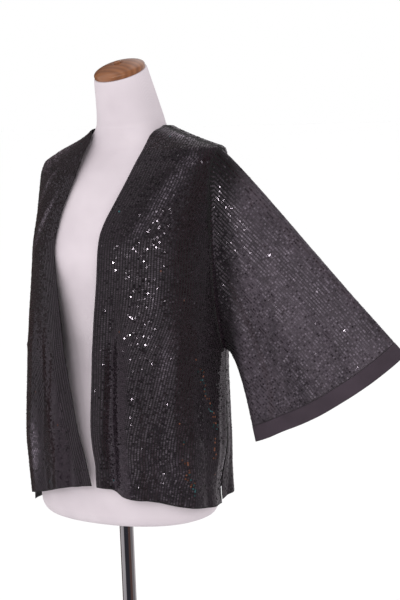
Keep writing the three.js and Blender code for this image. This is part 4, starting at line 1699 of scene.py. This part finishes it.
@dataclass
class DressForm:
    """The covered form with its wooden neck cap and plug."""

    shape: FormShape = FormShape()
    columns: int = 160
    lowest: tuple[float, ...] = (-9, -8.2, -7, -5, -2.5, 0, 3, 7, 13)  # heights of its lowest sections
    highest: tuple[float, ...] = (772, 773.3, NECK_TOP)
    cap_radius: float = 46.5
    cap_round: float = 2.0
    cap_rim: float = 6.0
    cap_dome: float = 13.0
    cap_hole: float = 7.2
    hole_mouth: float = 7.6
    hole_deep: float = 7.0
    plug_radius: float = 6.8
    plug_round: float = 1.6
    plug_proud: float = 3.2
    seam_turns: tuple[float, ...] = (97.0, -97.0, 180.0)
    seam_sunk: float = 0.5
    seam_wide: float = 0.9
    rim_wide: float = 2.5

    def seam_depth(self, turn: Array, h: Array) -> Array:
        """How far the cover is drawn in at its sewn seams and at the rim of the cap."""
        seams = sum(self.seam_sunk * bell(wrap(turn - at) / self.seam_wide) for at in self.seam_turns)
        return seams + self.seam_sunk * bell((h - NECK_TOP) / self.rim_wide)

    def cover(self) -> bpy.types.Object:
        """The covered body, with the hole for the pole in its lower face.

        Returns:
            The new object.
        """
        turn = np.linspace(0, 360, self.columns, endpoint=False)[None, :]
        sides, neck, rim = np.arange(20, 640, 6.0), np.arange(640, 706, 2.0), np.arange(708, 772, 4.0)
        h = np.concatenate([self.lowest, sides, neck, rim, self.highest])[:, None]
        rings = self.shape.point(turn, h + 0.0 * turn, self.seam_depth(turn, h))
        a = np.radians(turn[0])
        hole = np.stack([SOCKET * np.sin(a), -SOCKET * np.cos(a), 0 * a], -1)
        foot = LEVEL + UNDERSIDE
        inner = np.stack([hole + [0, 0, foot + SUNK], hole + [0, 0, foot]])
        return ring_solid("form_cover", np.concatenate([inner, rings]))

    def build(self, cover: bpy.types.Material, wood: bpy.types.Material) -> None:
        """Builds and dresses the form.

        Args:
            cover: finish of the cover.
            wood: finish of the cap and the plug.
        """
        report(dress(self.cover(), cover, "form_body"))
        crown, edge, tip = self.cap_rim + self.cap_dome, self.cap_round, self.plug_round
        cap = turned("neck_cap_wood", [
            *arc(self.cap_radius - edge, SEAT + edge, (edge, edge), (-90, 0), 5),
            *arc(0, self.cap_rim, (self.cap_radius, self.cap_dome), (4, 80), 16),
            (self.hole_mouth, crown - 0.3), (self.cap_hole, crown - 1.0),
            (self.cap_hole, crown - self.hole_deep),
        ], 96)
        plug = turned("cap_plug_wood", [
            (self.plug_radius, crown - self.hole_deep + SEAT),
            *arc(self.plug_radius - tip, crown + self.plug_proud - tip, (tip, tip), (0, 80), 5),
        ], 48)
        neck = Vector((0, float(FORM.read("spine", np.array(NECK_TOP))) * MM, (LEVEL + NECK_TOP) * MM))
        for piece, node in ((cap, "neck_cap"), (plug, "cap_plug")):
            piece.rotation_euler = (math.radians(CAP_TILT), 0, 0)
            piece.location = neck
            bpy.ops.object.select_all(action="DESELECT")
            piece.select_set(True)
            bpy.context.view_layer.objects.active = piece
            bpy.ops.object.transform_apply(location=True, rotation=True, scale=True)
            report(dress(piece, wood, node))


@dataclass
class Stand:
    """The pole and the round base."""

    pole_radius: float = 12.5
    pole_round: float = 0.6
    plate_radius: float = 190.0
    plate_round: float = 3.0
    thick: float = 12.0
    hub: float = 24.0
    hub_top: float = 46.0
    fillet: float = 8.0
    floor: float = 8.0  # height of the bottom of the hole in the base

    def build(self, steel: bpy.types.Material, plate: bpy.types.Material) -> None:
        """Builds and dresses the stand.

        Args:
            steel: finish of the pole.
            plate: finish of the base.
        """
        low, top = self.floor + SEAT, LEVEL + UNDERSIDE + SUNK - SEAT
        wide, narrow = self.pole_radius, self.pole_radius - self.pole_round
        pole = turned("pole_chrome", [
            (narrow, low), (wide, low + self.pole_round), (wide, top - self.pole_round), (narrow, top),
        ], 96)
        edge, fillet = self.plate_round, self.fillet
        base = turned("base_chrome", [
            *arc(self.plate_radius - edge, edge, (edge, edge), (-90, 0), 5),
            *arc(self.plate_radius - edge, self.thick - edge, (edge, edge), (0, 90), 6),
            *arc(self.hub + fillet, self.thick + fillet, (fillet, fillet), (270, 180), 8),
            *arc(self.hub - edge, self.hub_top - edge, (edge, edge), (0, 90), 6),
            (SOCKET, self.hub_top), (SOCKET, self.floor),
        ], 160)
        report(dress(pole, steel, "pole"), dress(base, plate, "base_plate"))


def towards(azimuth: float, elevation: float) -> Vector:
    """Unit direction to a place round the object, from the front by the wearer's left, and up."""
    a, e = math.radians(azimuth), math.radians(elevation)
    return Vector((math.sin(a) * math.cos(e), -math.cos(a) * math.cos(e), math.sin(e)))


@dataclass(frozen=True)
class Lamp:
    """A round light that faces the middle of the jacket, with its size in metres and power in watts."""

    name: str
    azimuth: float
    elevation: float
    size: float
    power: float
    glossy: bool = True
    distance: float = 3.6
    middle: Triple = (0, 0, 1.15)

    def build(self) -> None:
        """Adds the light."""
        back = towards(self.azimuth, self.elevation)
        data = bpy.data.lights.new(self.name, "AREA")
        data.shape, data.size, data.energy = "DISK", self.size, self.power
        made = bpy.data.objects.new(self.name, data)
        made.location = Vector(self.middle) + back * self.distance
        made.rotation_mode = "QUATERNION"
        made.rotation_quaternion = (-back).to_track_quat("-Z", "Y")
        made.visible_glossy = self.glossy
        bpy.context.scene.collection.objects.link(made)


@dataclass(frozen=True)
class Glow:
    """A soft round glow in the room: its direction, the degrees at which it ends and is full, its power."""

    azimuth: float
    elevation: float
    outer: float
    inner: float
    power: float

    def build(self, n: Nodes, way: bpy.types.NodeSocket) -> bpy.types.NodeSocket:
        """Its strength in the direction looked in.

        Args:
            n: the nodes.
            way: the direction looked in.

        Returns:
            The output that holds the strength.
        """
        near = n.add("VectorMath", operation="DOT_PRODUCT")
        n.feed(near, n0=way, n1=towards(self.azimuth, self.elevation))
        ends, full = (math.cos(math.radians(x)) for x in (self.outer, self.inner))
        glow = n.add("MapRange", interpolation_type="SMOOTHSTEP")
        n.feed(glow, Value=near.outputs["Value"], From_Min=ends, From_Max=full, To_Max=self.power)
        return glow.outputs[0]


@dataclass
class Studio:
    """The plain pale floor, the lights and the camera."""

    azimuth: float = 38.0
    pitch: float = 6.6
    roll: float = 2.3
    place: Triple = (2.0702, -2.4085, 1.5109)
    lens: float = 108.0
    film: float = 36.0
    ambient: float = 1.07
    lamp: Glow = Glow(24, 0, 50, 12, 0.8)
    high: Glow = Glow(218, 70, 50, 15, 0.15)
    lamps: tuple[Lamp, ...] = (
        Lamp("key", 24, 16, 0.7, 13, glossy=False), Lamp("flash_near", 30, 26, 0.10, 7),
        Lamp("flash_side", 4, 21, 0.10, 7), Lamp("flash_low", 27, 16, 0.06, 3),
    )
    floor_size: float = 120.0

    def camera(self) -> None:
        """The camera at the photograph's angle."""
        a, r = math.radians(self.azimuth), math.radians(self.roll)
        back = towards(self.azimuth, self.pitch)
        level = Vector((math.cos(a), math.sin(a), 0.0))
        upright = back.cross(level)
        right = level * math.cos(r) - upright * math.sin(r)
        up = upright * math.cos(r) + level * math.sin(r)
        data = bpy.data.cameras.new("camera")
        data.sensor_width, data.lens = self.film, self.lens
        data.clip_start, data.clip_end = 0.05, 200.0
        made = bpy.data.objects.new("camera", data)
        made.matrix_world = Matrix.Translation(self.place) @ Matrix((right, up, back)).transposed().to_4x4()
        bpy.context.scene.collection.objects.link(made)
        bpy.context.scene.camera = made

    def world(self, effects: Effects) -> None:
        """A white backdrop that lights softly, with the dimmer room and a soft lamp in gloss.

        Args:
            effects: the shared node groups.
        """
        world = bpy.data.worlds.new("studio")
        bpy.context.scene.world = world
        world.use_nodes = True
        n = Nodes(world.node_tree)
        background = world.node_tree.nodes["Background"]
        path = n.add("LightPath")
        way = n.add("TexCoord").outputs["Generated"]
        room = put_group(n, effects.room, Vector=way)
        lamp, high = self.lamp.build(n, way), self.high.build(n, way)
        glossy = n.add("Mix", data_type="RGBA", blend_type="ADD")
        glow = n.math("ADD", lamp, high)
        grey = n.feed(n.add("CombineColor"), n0=glow, n1=glow, n2=glow)
        n.feed(glossy, n0=1.0, n6=room.outputs["Color"], n7=grey.outputs[0])
        plain = (self.ambient, self.ambient, self.ambient, 1)
        soft = n.mix(path.outputs["Is Glossy Ray"], plain, glossy.outputs[2])
        colour = n.mix(path.outputs["Is Camera Ray"], soft, (1, 1, 1, 1))
        n.feed(background, Color=colour, Strength=1.0)

    def floor(self, finish: bpy.types.Material) -> None:
        """The plain pale floor.

        Args:
            finish: its material.
        """
        bpy.ops.object.select_all(action="DESELECT")
        bpy.ops.mesh.primitive_grid_add(x_subdivisions=8, y_subdivisions=8, size=self.floor_size)
        made = bpy.context.active_object
        made.name = "floor"
        made.data.materials.append(finish)

    def build(self, finish: bpy.types.Material, effects: Effects) -> None:
        """Sets up the whole studio.

        Args:
            finish: the floor's finish.
            effects: the shared node groups.
        """
        bpy.context.scene.view_settings.view_transform = "Standard"
        self.camera()
        self.world(effects)
        self.floor(finish)
        for lamp in self.lamps:
            lamp.build()


KNIT = ClothFinish("knit_ground", dark=(0.005, 0.0035, 0.0045), light=(0.016, 0.0115, 0.0145),
                   threads=700.0, relief=0.25, roughness=0.85, sheen=0.05)
# painted light: the sleeves' ground is painted paler than the body's, with painted shading near the armhole
SLEEVE_PAINTED_LIGHT = ClothFinish("knit_painted_light", dark=(0.024, 0.018, 0.023), light=(0.088, 0.067, 0.085),
                    threads=700.0, relief=0.25, roughness=0.85, sheen=0.05, painted_shade_run=0.10)
BAND = ClothFinish("plain_band", dark=(0.030, 0.019, 0.028), light=(0.056, 0.038, 0.053),
                   threads=900.0, relief=0.2, roughness=0.92, sheen=0.12)
JERSEY = ClothFinish("jersey_cover", dark=(0.565, 0.495, 0.535), light=(0.67, 0.595, 0.635),
                     threads=1100.0, relief=0.06, roughness=0.7, sheen=0.08)
POLE_CHROME = SteelFinish("chrome_pole", roughness=0.06)
BASE_CHROME = SteelFinish("chrome_base", roughness=0.16)


def main() -> None:
    """Builds the finishes, the object and the studio in order."""
    logging.basicConfig(level=logging.INFO, format="%(message)s")
    effects = Effects()
    DressForm().build(JERSEY.build(effects), WoodFinish().build(effects))
    Stand().build(POLE_CHROME.build(effects), BASE_CHROME.build(effects))
    finishes = (KNIT, SLEEVE_PAINTED_LIGHT, BAND, SequinFinish())
    Jacket().build(*(finish.build(effects) for finish in finishes))
    Studio().build(FloorFinish().build(effects), effects)
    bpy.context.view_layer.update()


if __name__ == "__main__":
    main()
